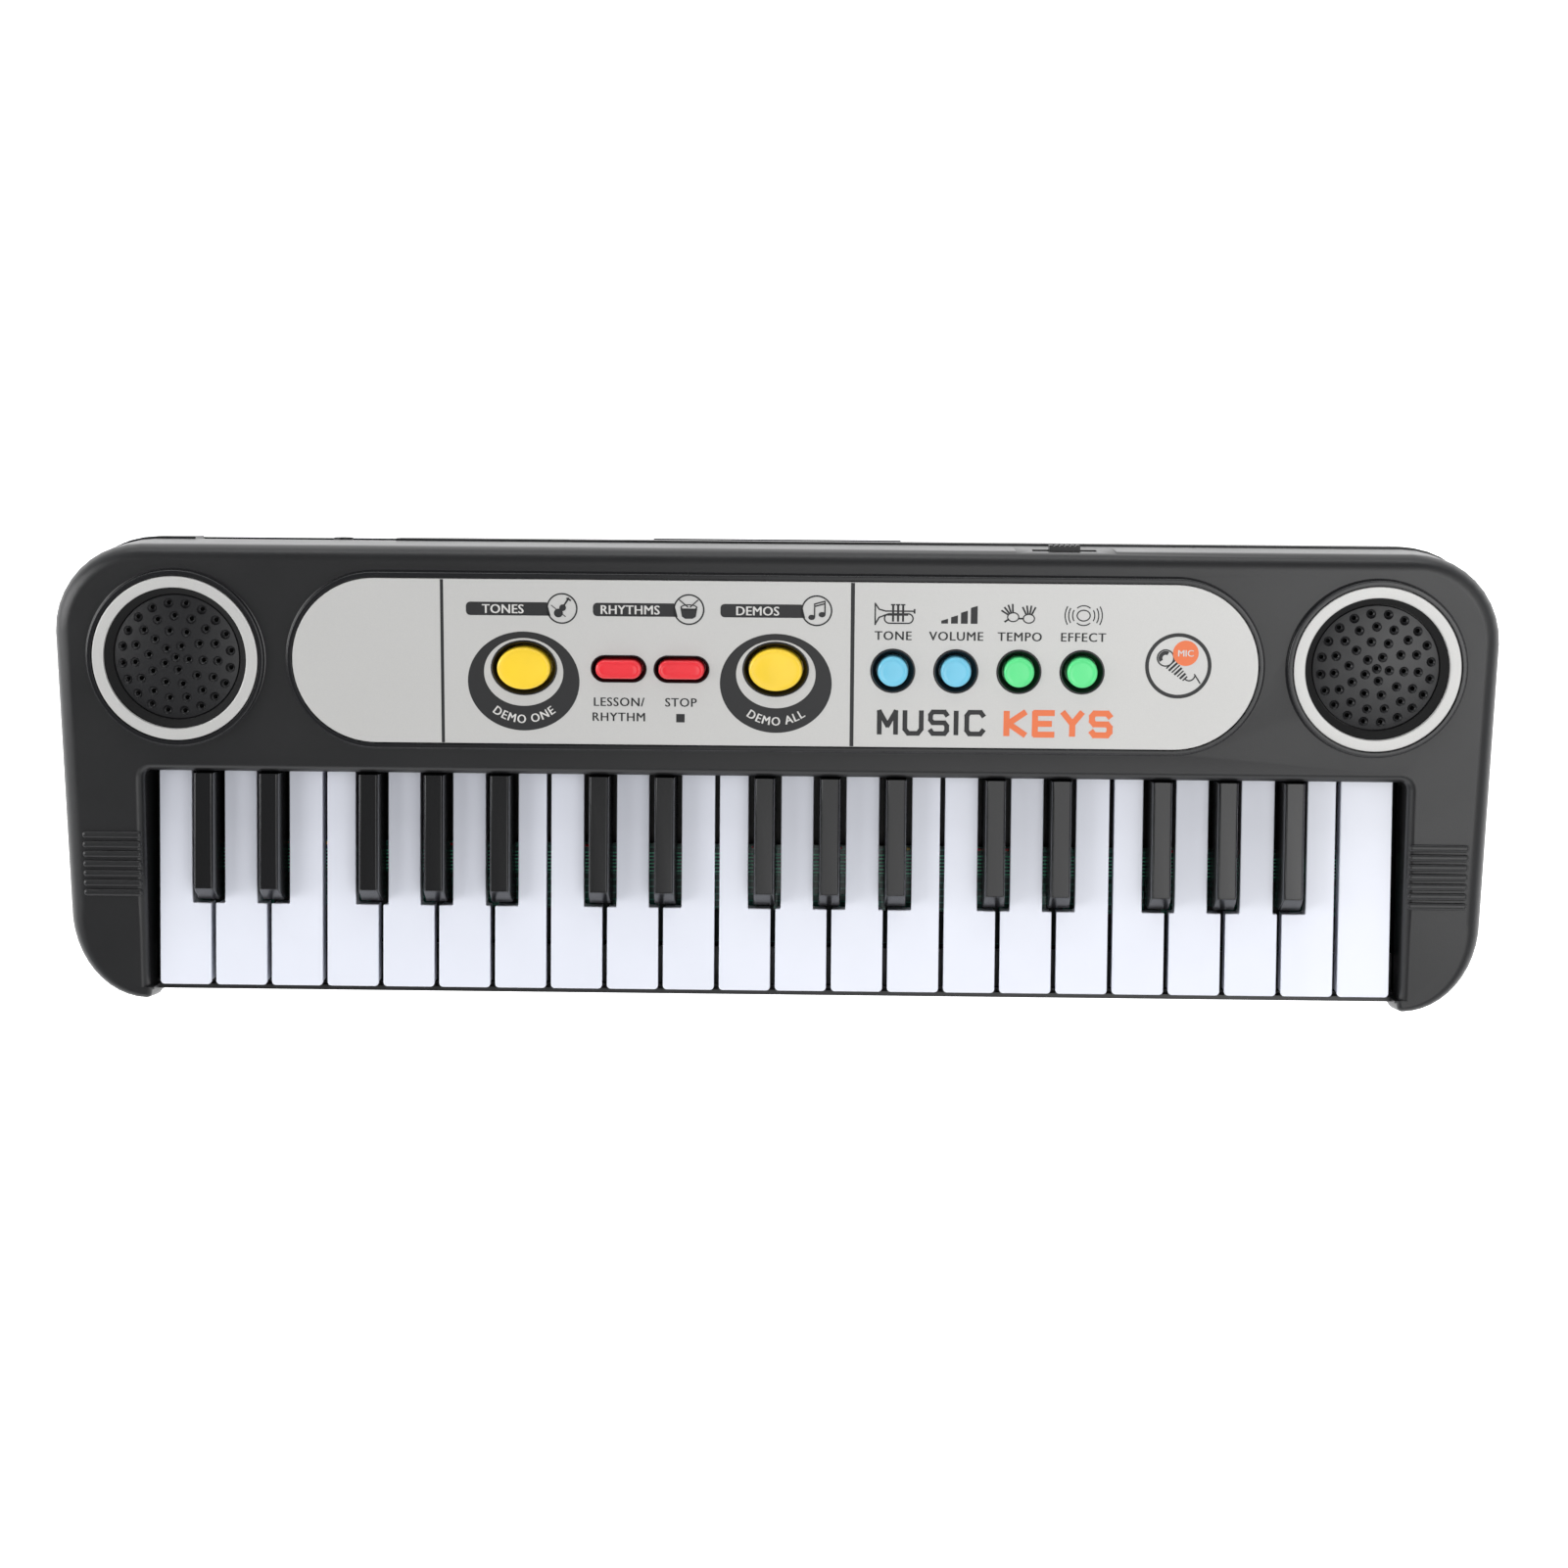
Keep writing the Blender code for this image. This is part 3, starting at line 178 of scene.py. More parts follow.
# Copper tracks, lighter green than the board, and made brighter still as painted light where the board lies in
# shade.
TRACK_AND_PAINTED_LIGHT = Finish("copper_tracks_and_painted_light", "circuit_board", (0.16, 0.80, 0.55), 0.30, coat=0.3)
RUBBER = Finish("contact_rubber", "contact_rubber", (0.024, 0.030, 0.028), 0.75, depth=0.12)
STEEL = Finish("bright_steel", "speaker_steel", (0.52, 0.52, 0.53), 0.28, metallic=1.0, effect=Effect.BRUSHED)
SWITCH = Finish("switch_plastic", "switch_plastic", (0.008, 0.008, 0.009), 0.35)
INK = ink("ink_dark", "casing_plastic", 0.012, 0.012, 0.013)
INK_LIGHT = ink("ink_light", "silver_panel", 0.62, 0.61, 0.59)
INK_ORANGE = ink("ink_orange", "silver_panel", 0.80, 0.18, 0.06)
GRAIN_HEIGHT = 0.0002
BRUSH_STRETCH = 0.04
SPECK_SHARE, SPECK_SCALE = 0.05, 6500.0
MOTTLE_SCALE = 90.0


def rgba(colour: Sequence[float], gain: float = 1.0, lift: float = 0.0) -> tuple[float, ...]:
    """An opaque colour, brightened or darkened."""
    return (*[min(1.0, c * gain + lift) for c in colour], 1.0)


def feed(tree: Tree, node: Node, inputs: dict) -> None:
    """Sets a node's inputs to values, or links them to sockets."""
    for key, value in inputs.items():
        if isinstance(value, bpy.types.NodeSocket):
            tree.links.new(value, node.inputs[key])
        else:
            node.inputs[key].default_value = value


def add_node(tree: Tree, kind: str, inputs: dict | None = None, **settings: object) -> Node:
    """Adds a node with its settings, and feeds its inputs."""
    node = tree.nodes.new(kind)
    for key, value in settings.items():
        setattr(node, key, value)
    feed(tree, node, inputs or {})
    return node


class Materials:
    """Makes each finish once, all of them from one shared node group."""

    def __init__(self) -> None:
        self._made: dict[str, Material] = {}
        self._surface = self._surface_group()

    @staticmethod
    def _surface_group() -> Tree:
        """A group for moulded grain and a roughness that wanders."""
        tree = bpy.data.node_groups.new("moulded_surface", "ShaderNodeTree")
        for name in ("Grain", "Depth", "Roughness", "Spread", "Stretch"):
            tree.interface.new_socket(name, in_out="INPUT", socket_type="NodeSocketFloat")
        for name, kind in (("Normal", "Vector"), ("Roughness", "Float")):
            tree.interface.new_socket(name, in_out="OUTPUT", socket_type="NodeSocket" + kind)
        given = add_node(tree, "NodeGroupInput").outputs
        place = add_node(tree, "ShaderNodeTexCoord").outputs
        factors = add_node(tree, "ShaderNodeCombineXYZ", {"X": given["Stretch"], "Y": 1.0, "Z": 1.0})
        stretched = add_node(tree, "ShaderNodeVectorMath", {0: place["Object"], 1: factors.outputs[0]},
                             operation="MULTIPLY")
        grain = add_node(tree, "ShaderNodeTexNoise",
                         {"Vector": stretched.outputs[0], "Scale": given["Grain"], "Detail": 2.0})
        bump = add_node(tree, "ShaderNodeBump", {"Height": grain.outputs["Fac"], "Strength": given["Depth"],
                                                 "Distance": GRAIN_HEIGHT})
        wander = add_node(tree, "ShaderNodeTexNoise",
                          {"Vector": place["Object"], "Scale": 28.0, "Detail": 4.0})
        centred = add_node(tree, "ShaderNodeMath", {0: wander.outputs["Fac"], 1: 0.5}, operation="SUBTRACT")
        rough = add_node(tree, "ShaderNodeMath",
                         {0: centred.outputs[0], 1: given["Spread"], 2: given["Roughness"]},
                         operation="MULTIPLY_ADD")
        add_node(tree, "NodeGroupOutput", {"Normal": bump.outputs["Normal"], "Roughness": rough.outputs[0]})
        return tree

    def get(self, finish: Finish) -> Material:
        """Gives the one material of a finish."""
        if finish.name not in self._made:
            self._made[finish.name] = self._build(finish)
        return self._made[finish.name]

    def _build(self, finish: Finish) -> Material:
        material = bpy.data.materials.new(finish.name)
        material.use_nodes = True
        tree = material.node_tree
        surface = add_node(tree, "ShaderNodeGroup", node_tree=self._surface)
        feed(tree, surface, {
            "Grain": finish.grain, "Depth": finish.depth, "Roughness": finish.roughness,
            "Spread": finish.spread * 2,
            "Stretch": BRUSH_STRETCH if finish.effect is Effect.BRUSHED else 1.0})
        shader = tree.nodes["Principled BSDF"]
        feed(tree, shader, {
            "Base Color": rgba(finish.colour), "Metallic": finish.metallic, "Coat Weight": finish.coat,
            "Normal": surface.outputs["Normal"], "Roughness": surface.outputs["Roughness"]})
        if finish.effect is Effect.METALLIC_PRINT:
            pattern = self._speckle(tree, finish.colour, SPECK_SHARE, SPECK_SCALE)
        elif finish.effect is Effect.CIRCUIT:
            pattern = self._tracks(tree, finish.colour)
        else:
            pattern = self._speckle(tree, finish.colour, finish.mottle, MOTTLE_SCALE)
        feed(tree, shader, {"Base Color": pattern.outputs["Color"]})
        return material

    @staticmethod
    def _speckle(tree: Tree, colour: Sequence[float], share: float, scale: float) -> Node:
        """The colour, which wanders by a small share of itself."""
        place = add_node(tree, "ShaderNodeTexCoord")
        noise = add_node(tree, "ShaderNodeTexNoise",
                         {"Vector": place.outputs["Object"], "Scale": scale, "Detail": 3.0})
        ramp = add_node(tree, "ShaderNodeValToRGB", {"Fac": noise.outputs["Fac"]})
        for element, position, gain in zip(ramp.color_ramp.elements, (0.3, 0.7), (1 - share, 1 + share)):
            element.position = position
            element.color = rgba(colour, gain)
        return ramp

    @staticmethod
    def _tracks(tree: Tree, colour: Sequence[float]) -> Node:
        """Copper tracks that show lighter through the solder mask."""
        place = add_node(tree, "ShaderNodeTexCoord")
        return add_node(tree, "ShaderNodeTexBrick", {
            "Vector": place.outputs["Object"], "Scale": 130.0, "Mortar Size": 0.03,
            "Color1": rgba(colour), "Color2": rgba(colour, 0.8), "Mortar": rgba(colour, 1.9, 0.01)})


# ---------------------------------------------------------------- meshes

def mesh_object(name: str, bm: BMesh) -> Object:
    """Makes an object of a bmesh, with its faces outward.

    Args:
        name: object name.
        bm: the mesh, which is freed.

    Returns:
        The new object, at the origin.
    """
    bmesh.ops.recalc_face_normals(bm, faces=bm.faces)
    mesh = bpy.data.meshes.new(name)
    bm.to_mesh(mesh)
    bm.free()
    made = bpy.data.objects.new(name, mesh)
    bpy.context.scene.collection.objects.link(made)
    return made


def add_loft(bm: BMesh, rings: Sequence[Sequence[Sequence[float]]], closed: bool = False) -> None:
    """Adds a skin through rings of equal length to a bmesh.

    Args:
        bm: mesh to add to.
        rings: points of each ring, in millimetres.
        closed: join the last ring to the first instead of capping both ends.
    """
    rows = [[bm.verts.new(Vector(p) * MM) for p in ring] for ring in rings]
    pairs = list(zip(rows, rows[1:]))
    if closed:
        pairs.append((rows[-1], rows[0]))
    for low, high in pairs:
        for i in range(len(low)):
            j = (i + 1) % len(low)
            bm.faces.new((low[i], low[j], high[j], high[i]))
    if not closed:
        bm.faces.new(rows[0])
        bm.faces.new(rows[-1])


def loft(name: str, rings: Sequence[Sequence[Sequence[float]]], closed: bool = False) -> Object:
    """Makes one lofted object. See add_loft."""
    bm = bmesh.new()
    add_loft(bm, rings, closed)
    return mesh_object(name, bm)


def bake(made: Object) -> Object:
    """Applies every modifier of an object to its mesh."""
    bpy.context.view_layer.update()
    evaluated = made.evaluated_get(bpy.context.evaluated_depsgraph_get())
    mesh = bpy.data.meshes.new_from_object(evaluated)
    made.modifiers.clear()
    made.data = mesh
    return made


def cut(target: Object, cutter: Object) -> None:
    """Cuts one object out of another and removes the cutter."""
    step = target.modifiers.new("step", "BOOLEAN")
    step.operation = "DIFFERENCE"
    step.solver = "MANIFOLD"
    step.object = cutter
    bake(target)
    bpy.data.objects.remove(cutter, do_unlink=True)


def soften(made: Object, angle: float = 32.0) -> Object:
    """Shades an object smooth up to an angle, with large faces kept flat."""
    made.data.shade_smooth()
    made.data.set_sharp_from_angle(angle=math.radians(angle))
    step = made.modifiers.new("normals", "WEIGHTED_NORMAL")
    step.keep_sharp = True
    return bake(made)


def round_edges(made: Object, width: float) -> Object:
    """Rounds the sharp edges."""
    step = made.modifiers.new("edges", "BEVEL")
    step.width = width * MM
    step.segments = 2
    step.limit_method = "ANGLE"
    step.angle_limit = math.radians(40.0)
    return bake(made)


def ellipse(rx: float, ry: float, steps: int, x: float = 0.0, y: float = 0.0) -> list[Point]:
    """Points of an ellipse, counter-clockwise."""
    angles = [2 * math.pi * i / steps for i in range(steps)]
    return [(x + rx * math.cos(a), y + ry * math.sin(a)) for a in angles]


def stadium(half_length: float, radius: float, steps: int, x: float = 0.0, y: float = 0.0) -> list[Point]:
    """A long outline with round ends."""
    reach = half_length - radius
    points = []
    for side, start in ((1, -math.pi / 2), (-1, math.pi / 2)):
        for i in range(steps + 1):
            angle = start + math.pi * i / steps
            points.append((x + side * reach + radius * math.cos(angle), y + radius * math.sin(angle)))
    return points


def rounded(corners: Sequence[tuple[float, float, float]], steps: int = 4) -> list[Point]:
    """Rounds each corner of a polygon by its own radius.

    Args:
        corners: (x, y, radius) of each corner.
        steps: segments in each round.

    Returns:
        The rounded outline.
    """
    outline: list[Point] = []
    for i, (x, y, radius) in enumerate(corners):
        here = Vector((x, y))
        before = (Vector(corners[i - 1][:2]) - here).normalized()
        after = (Vector(corners[(i + 1) % len(corners)][:2]) - here).normalized()
        half = before.angle(after) / 2
        reach = radius / math.tan(half)
        centre = here + (before + after).normalized() * (radius / math.sin(half))
        start = here + before * reach - centre
        end = here + after * reach - centre
        first = math.atan2(start.y, start.x)
        sweep = (math.atan2(end.y, end.x) - first + math.pi) % (2 * math.pi) - math.pi
        for k in range(steps + 1):
            angle = first + sweep * k / steps
            outline.append((centre.x + radius * math.cos(angle), centre.y + radius * math.sin(angle)))
    return outline


def inset(loop: Sequence[Point], distance: float) -> list[Point]:
    """Moves a counter-clockwise outline inwards, with mitred corners."""
    moved = []
    for i, here in enumerate(loop):
        first = (Vector(here) - Vector(loop[i - 1])).normalized()
        second = (Vector(loop[(i + 1) % len(loop)]) - Vector(here)).normalized()
        inward = Vector((-first.y, first.x))
        middle = (inward + Vector((-second.y, second.x))).normalized()
        moved.append(tuple(Vector(here) + middle * (distance / max(middle.dot(inward), 0.5))))
    return moved


def box_loop(x0: float, y0: float, x1: float, y1: float) -> list[Point]:
    """A rectangle, counter-clockwise."""
    return [(x0, y0), (x1, y0), (x1, y1), (x0, y1)]


def box_corners(x0: float, y0: float, x1: float, y1: float, near: float, far: float | None = None) -> Ring:
    """A rectangle's corners with their radii, which may differ at the near and the far end."""
    radii = (near, near, near, near) if far is None else (near, near, far, far)
    return [(x, y, radius) for (x, y), radius in zip(box_loop(x0, y0, x1, y1), radii)]


def flat_ring(loop: Sequence[Point], z: float) -> Ring:
    return [(x, y, z) for x, y in loop]


def stack(name: str, *levels: tuple[Sequence[Point], float]) -> Object:
    """Lofts flat outlines, each at its height."""
    return loft(name, [flat_ring(loop, z) for loop, z in levels])


# ---------------------------------------------------------------- the deck

@dataclass(frozen=True)
class Deck:
    """The sloping plane of the control panel's face.

    Args:
        origin: the face's middle, in millimetres.
    """

    origin: Vector

    @classmethod
    def from_frame(cls) -> Deck:
        """Reads the plane from the control panel's box."""
        low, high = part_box("control_panel")
        middle = (Vector(low) + Vector(high)) / 2 / MM
        return cls(middle + cls.normal() * (PLATE_THICKNESS / 2))

    @staticmethod
    def normal() -> Vector:
        return Vector((0.0, -math.sin(DECK_TILT), math.cos(DECK_TILT)))

    def at(self, x: float, s: float, n: float) -> tuple[float, float, float]:
        """The point at (x, s, n), in millimetres."""
        along = Vector((x, s * math.cos(DECK_TILT), s * math.sin(DECK_TILT)))
        return tuple(self.origin + along + self.normal() * n)

    def ring(self, loop: Sequence[Point], n: float) -> Ring:
        return [self.at(x, s, n) for x, s in loop]

    def matrix(self, x: float, s: float, n: float) -> Matrix:
        """Turns flat millimetres into deck metres, about (x, s, n)."""
        turn = Matrix.Rotation(DECK_TILT, 4, "X")
        return Matrix.Translation(Vector(self.at(x, s, n)) * MM) @ turn @ Matrix.Scale(MM, 4)

    def turned(self, name: str, x: float, s: float, profile: Sequence[Point], steps: int = 64,
               closed: bool = False) -> Object:
        """A body turned about the deck's normal, from (radius, n) points."""
        return loft(name, [self.ring(ellipse(r, r, steps, x, s), n) for r, n in profile], closed)


# ---------------------------------------------------------------- geometry nodes

class Scatter:
    """Repeats small shapes with geometry node trees, which are applied at once."""

    def __init__(self) -> None:
        self._circles = self._circle_tree()
        self._rows = self._row_tree()

    def circle(self, made: Object, count: int, radius: float, turn: float) -> Object:
        """Puts a shape on a circle of points about the Z axis."""
        return self._run(made, self._circles, {"Radius": radius * MM, "Count": count, "Turn": turn})

    def row(self, made: Object, count: int, step: Sequence[float], keep: float = 1.0) -> Object:
        """Repeats a shape along a line, with a random share left out."""
        values = {"Count": count, "Step": tuple(v * MM for v in step), "Keep": keep, "Seed": 11}
        return self._run(made, self._rows, values)

    @staticmethod
    def _start(name: str, **kinds: str) -> tuple[Tree, Sockets]:
        """A new tree for geometry with further inputs, and its input node's sockets."""
        tree = bpy.data.node_groups.new(name, "GeometryNodeTree")
        for side in ("INPUT", "OUTPUT"):
            tree.interface.new_socket("Geometry", in_out=side, socket_type="NodeSocketGeometry")
        for socket, kind in {**kinds, "Material": "Material"}.items():
            tree.interface.new_socket(socket, in_out="INPUT", socket_type="NodeSocket" + kind)
        return tree, add_node(tree, "NodeGroupInput").outputs

    @staticmethod
    def _end(tree: Tree, given: Sockets, spots: dict) -> Tree:
        """Puts the input mesh on points, as real and painted geometry."""
        points = add_node(tree, "GeometryNodeInstanceOnPoints", {**spots, "Instance": given["Geometry"]})
        real = add_node(tree, "GeometryNodeRealizeInstances", {0: points.outputs[0]})
        paint = add_node(tree, "GeometryNodeSetMaterial",
                         {"Geometry": real.outputs[0], "Material": given["Material"]})
        add_node(tree, "NodeGroupOutput", {0: paint.outputs[0]})
        return tree

    def _circle_tree(self) -> Tree:
        tree, given = self._start("dimple_circle", Radius="Float", Count="Int", Turn="Float")
        circle = add_node(tree, "GeometryNodeMeshCircle",
                          {"Vertices": given["Count"], "Radius": given["Radius"]})
        angle = add_node(tree, "ShaderNodeCombineXYZ", {"Z": given["Turn"]})
        turned = add_node(tree, "GeometryNodeTransform",
                          {"Geometry": circle.outputs["Mesh"], "Rotation": angle.outputs[0]})
        return self._end(tree, given, {"Points": turned.outputs[0]})

    def _row_tree(self) -> Tree:
        tree, given = self._start("part_row", Count="Int", Step="Vector", Keep="Float", Seed="Int")
        line = add_node(tree, "GeometryNodeMeshLine", {"Count": given["Count"], "Offset": given["Step"]})
        chance = add_node(tree, "FunctionNodeRandomValue", data_type="BOOLEAN")
        feed(tree, chance, {"Probability": given["Keep"], "Seed": given["Seed"]})
        return self._end(tree, given, {"Points": line.outputs["Mesh"], "Selection": chance.outputs[3]})

    @staticmethod
    def _run(made: Object, tree: Tree, values: dict[str, object]) -> Object:
        """Applies a tree to an object with named inputs."""
        step = made.modifiers.new("scatter", "NODES")
        step.node_group = tree
        for item in tree.interface.items_tree:
            if item.item_type == "SOCKET" and item.in_out == "INPUT" and item.name in values:
                step[item.identifier] = values[item.name]
        return bake(made)


# ---------------------------------------------------------------- pieces

class Workshop:
    """Paints finished pieces and hangs them on the frame."""

    def __init__(self, nodes: dict[str, Object]) -> None:
        self.nodes = nodes
        self.materials = Materials()
        self.deck = Deck.from_frame()
        self.scatter = Scatter()

    def fit(self, made: Object, finish: Finish, body: str = "casing",
            stands_for: Sequence[str] = ()) -> None:
        """Paints a piece and hangs it on a body.

        Args:
            made: the piece, in place.
            finish: its finish.
            body: the CAD body that it rides on.
            stands_for: CAD nodes that it replaces.
        """
        made.data.materials.clear()
        made.data.materials.append(self.materials.get(finish))
        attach(made, body)
        if stands_for:
            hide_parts(*stands_for)
        LOG.info("%s: %d faces on %s", made.name, len(made.data.polygons), body)

    def refined(self, node: str) -> Object:
        """A copy of a CAD node's shape, welded and with clean normals."""
        bm = bmesh.new()
        bm.from_mesh(self.nodes[node].data)
        bmesh.ops.remove_doubles(bm, verts=bm.verts, dist=0.005 * MM)
        bmesh.ops.dissolve_limit(bm, angle_limit=math.radians(0.05), verts=bm.verts, edges=bm.edges)
        return soften(mesh_object("fine_" + node, bm))


def limits(node: str) -> tuple[Vector, Vector]:
    """A node's box, in millimetres."""
    low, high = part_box(node)
    return Vector(low) / MM, Vector(high) / MM


def middle_x(node: str) -> float:
    """The middle of a node's box along the keyboard."""
    low, high = limits(node)
    return (low.x + high.x) / 2


@dataclass
class Builder:
    """Builds one sub-assembly in the workshop."""

    shop: Workshop

    @property
    def deck(self) -> Deck:
        return self.shop.deck


class Casing(Builder):
    """Both casing halves, the battery door, and the small hardware in them."""

    def build(self) -> None:
        for node in ("upper_casing", "lower_casing"):
            self.shop.fit(self.shop.refined(node), CASING, stands_for=[node])
        self._ribs()
        self._door()
        self._screws()
        self._socket()

    def _ribs(self) -> None:
        """Raised round bars across both cheeks."""
        first = (RIB_MIDDLE_Y - (RIB_COUNT - 1) / 2 * RIB_PITCH - self.deck.origin.y) / math.cos(DECK_TILT)
        step = (0.0, RIB_PITCH, RIB_PITCH * math.tan(DECK_TILT))
        profile = ((1.12, -0.4), (1.05, 0.25), (0.85, 0.55), (0.5, 0.72), (0.15, 0.78))
        for side, word in SIDES:
            x = side * RIB_MIDDLE_X
            rings = [self.deck.ring(stadium(RIB_REACH + radius, radius, 8, x, first), rise - RAISE)
                     for radius, rise in profile]
            bars = self.shop.scatter.row(loft(f"cheek_ribs_{word}", rings), RIB_COUNT, step)
            self.shop.fit(soften(bars, 45.0), CASING)

    def _door(self) -> None:
        """The door's plate with softened edges and four finger ridges."""
        low, high = limits("battery_door")
        outline = rounded(box_corners(low.x, low.y, high.x, high.y, 1.0))
        door = stack("door_plate", (inset(outline, 0.3), low.z), (outline, low.z + 0.3), (outline, high.z))
        self.shop.fit(soften(door), CASING, "battery_door", ["battery_door"])
        middle = (low.x + high.x) / 2
        ridge = rounded(box_corners(middle - 9, low.y + 5, middle + 9, low.y + 6.2, 0.5))
        bar = stack("door_ridges", (inset(ridge, 0.3), low.z - 0.5), (ridge, low.z - 0.2),
                    (ridge, low.z + 0.4))
        self.shop.fit(soften(self.shop.scatter.row(bar, 4, (0.0, 2.6, 0.0))), CASING, "battery_door")

    def _screws(self) -> None:
        """Pan head screws in the counterbores of the underside."""
        profile = ((1.15, 14.0), (1.15, 5.3), (2.15, 5.2), (2.2, 4.6), (1.7, 4.05), (0.9, 3.85))
        for number, (x, y) in enumerate(SCREW_PLACES, 1):
            for side, word in SIDES:
                middle = side * x
                levels = [(ellipse(r, r, 24, middle, y), z) for r, z in profile]
                screw = stack(f"screw_{word}_{number}", *levels)
                for half_x, half_y in ((0.22, 1.2), (1.2, 0.22)):
                    slot = box_loop(middle - half_x, y - half_y, middle + half_x, y + half_y)
                    cut(screw, stack("slot", (slot, 3.0), (slot, 4.6)))
                self.shop.fit(soften(screw), STEEL)

    def _socket(self) -> None:
        """The bright sleeve inside the microphone socket."""
        rings = [[(SOCKET_X + x, y, SOCKET_Z + z) for x, z in ellipse(radius, radius, 32)]
                 for radius, y in ((1.7, 62.0), (1.7, 66.55), (1.45, 66.55), (1.45, 62.0))]
        self.shop.fit(soften(loft("socket_sleeve", rings, closed=True)), STEEL)


class Keys(Builder):
    """White and black keys."""

    def build(self) -> None:
        middles = [middle_x(name) for name in BLACKS]
        for name in WHITES:
            self._white(name, middles)
        for name in BLACKS:
            self._black(name)

    def _white(self, name: str, blacks: Sequence[float]) -> None:
        """A white key with rounded top edges and drawn-in side walls, notched beside each black key."""
        low, high = limits(name)
        rear = SILL_Y + 2.6
        left = next((x + NOTCH_WIDTH / 2 for x in blacks if low.x - 6 < x < low.x + 6), low.x)
        right = next((x - NOTCH_WIDTH / 2 for x in blacks if high.x - 6 < x < high.x + 6), high.x)
        corners = [(low.x, low.y, 1.1), (high.x, low.y, 1.1)]
        if right < high.x:
            corners += [(high.x, NOTCH_FRONT, 0.3), (right, NOTCH_FRONT, 0.3)]
        corners += [(right, rear, 0.5), (left, rear, 0.5)]
        if left > low.x:
            corners += [(left, NOTCH_FRONT, 0.3), (low.x, NOTCH_FRONT, 0.3)]
        outline = rounded(corners)
        edge = 0.30
        wall = inset(outline, 0.35)
        levels = [(wall, high.z - KEY_DEPTH), (wall, high.z - 1.7), (outline, high.z - 1.4),
                  (outline, high.z - edge)]
        for angle in (30, 60, 90):
            turn = math.radians(angle)
            drawn_in, sunk = edge * (1 - math.cos(turn)), edge * (1 - math.sin(turn))
            levels.append((inset(outline, drawn_in), high.z - sunk))
        key = soften(stack("fine_" + name, *levels))
        self._tail(name, key, left, right, high.y, WHITE_KEY)

    def _tail(self, name: str, key: Object, left: float, right: float, end: float, finish: Finish) -> None:
        """Adds the tail that reaches into the pivot rail, as a second shell, and fits the key."""
        bm = bmesh.new()
        bm.from_mesh(key.data)
        loop = box_loop(left + 0.2, SILL_Y + 1.2, right - 0.2, end)
        add_loft(bm, [flat_ring(loop, TAIL_TOP - TAIL_THICKNESS), flat_ring(loop, TAIL_TOP)])
        bm.to_mesh(key.data)
        bm.free()
        self.shop.fit(key, finish, name, [name])

    def _black(self, name: str) -> None:
        """A black key: sloping front, drawn-in sides and a softly rounded top."""
        low, high = limits(name)
        x = (low.x + high.x) / 2
        rear = SILL_Y - 0.6
        # Height, half width, and how far the front leans back
        sections = ((19.0, 3.15, 0.0), (25.0, 3.15, 0.0), (28.2, 2.98, 1.75), (31.0, 2.80, 3.30),
                    (31.55, 2.74, 3.62), (31.95, 2.58, 3.86), (32.2, 2.36, 4.05), (high.z, 2.14, 4.30))
        levels = [(rounded(box_corners(x - half, low.y + lean, x + half, rear, 0.45, 0.2), 3), z)
                  for z, half, lean in sections]
        key = soften(stack("fine_" + name, *levels), 24.0)
        self._tail(name, key, low.x, high.x, high.y, BLACK_KEY)


@dataclass(frozen=True)
class ButtonLook:
    """One kind of button: its colour and the half sizes of its cap and of the panel's hole."""

    finish: Finish
    half: Point
    hole: Point
    pill: bool = False  # a long cap with round ends

    def outline(self, x: float, s: float, half_x: float, half_s: float) -> list[Point]:
        """The cap's or the hole's outline for given half sizes."""
        return stadium(half_x, half_s, 28, x, s) if self.pill else ellipse(half_x, half_s, 56, x, s)


OVAL_HALF, OVAL_HOLE = (7.5, 6.0), (9.4, 7.9)
PILL_HALF, PILL_HOLE = (6.45, 2.65), (7.9, 3.95)
ROUND_HALF, ROUND_HOLE = (4.25, 4.25), (6.35, 6.35)
BUTTONS: dict[str, ButtonLook] = {
    "demo_one_button": ButtonLook(YELLOW, OVAL_HALF, OVAL_HOLE),
    "demo_all_button": ButtonLook(YELLOW, OVAL_HALF, OVAL_HOLE),
    "lesson_button": ButtonLook(RED, PILL_HALF, PILL_HOLE, True),
    "stop_button": ButtonLook(RED, PILL_HALF, PILL_HOLE, True),
    "tone_button": ButtonLook(BLUE, ROUND_HALF, ROUND_HOLE),
    "volume_button": ButtonLook(BLUE, ROUND_HALF, ROUND_HOLE),
    "tempo_button": ButtonLook(GREEN, ROUND_HALF, ROUND_HOLE),
    "effect_button": ButtonLook(GREEN, ROUND_HALF, ROUND_HOLE),
}


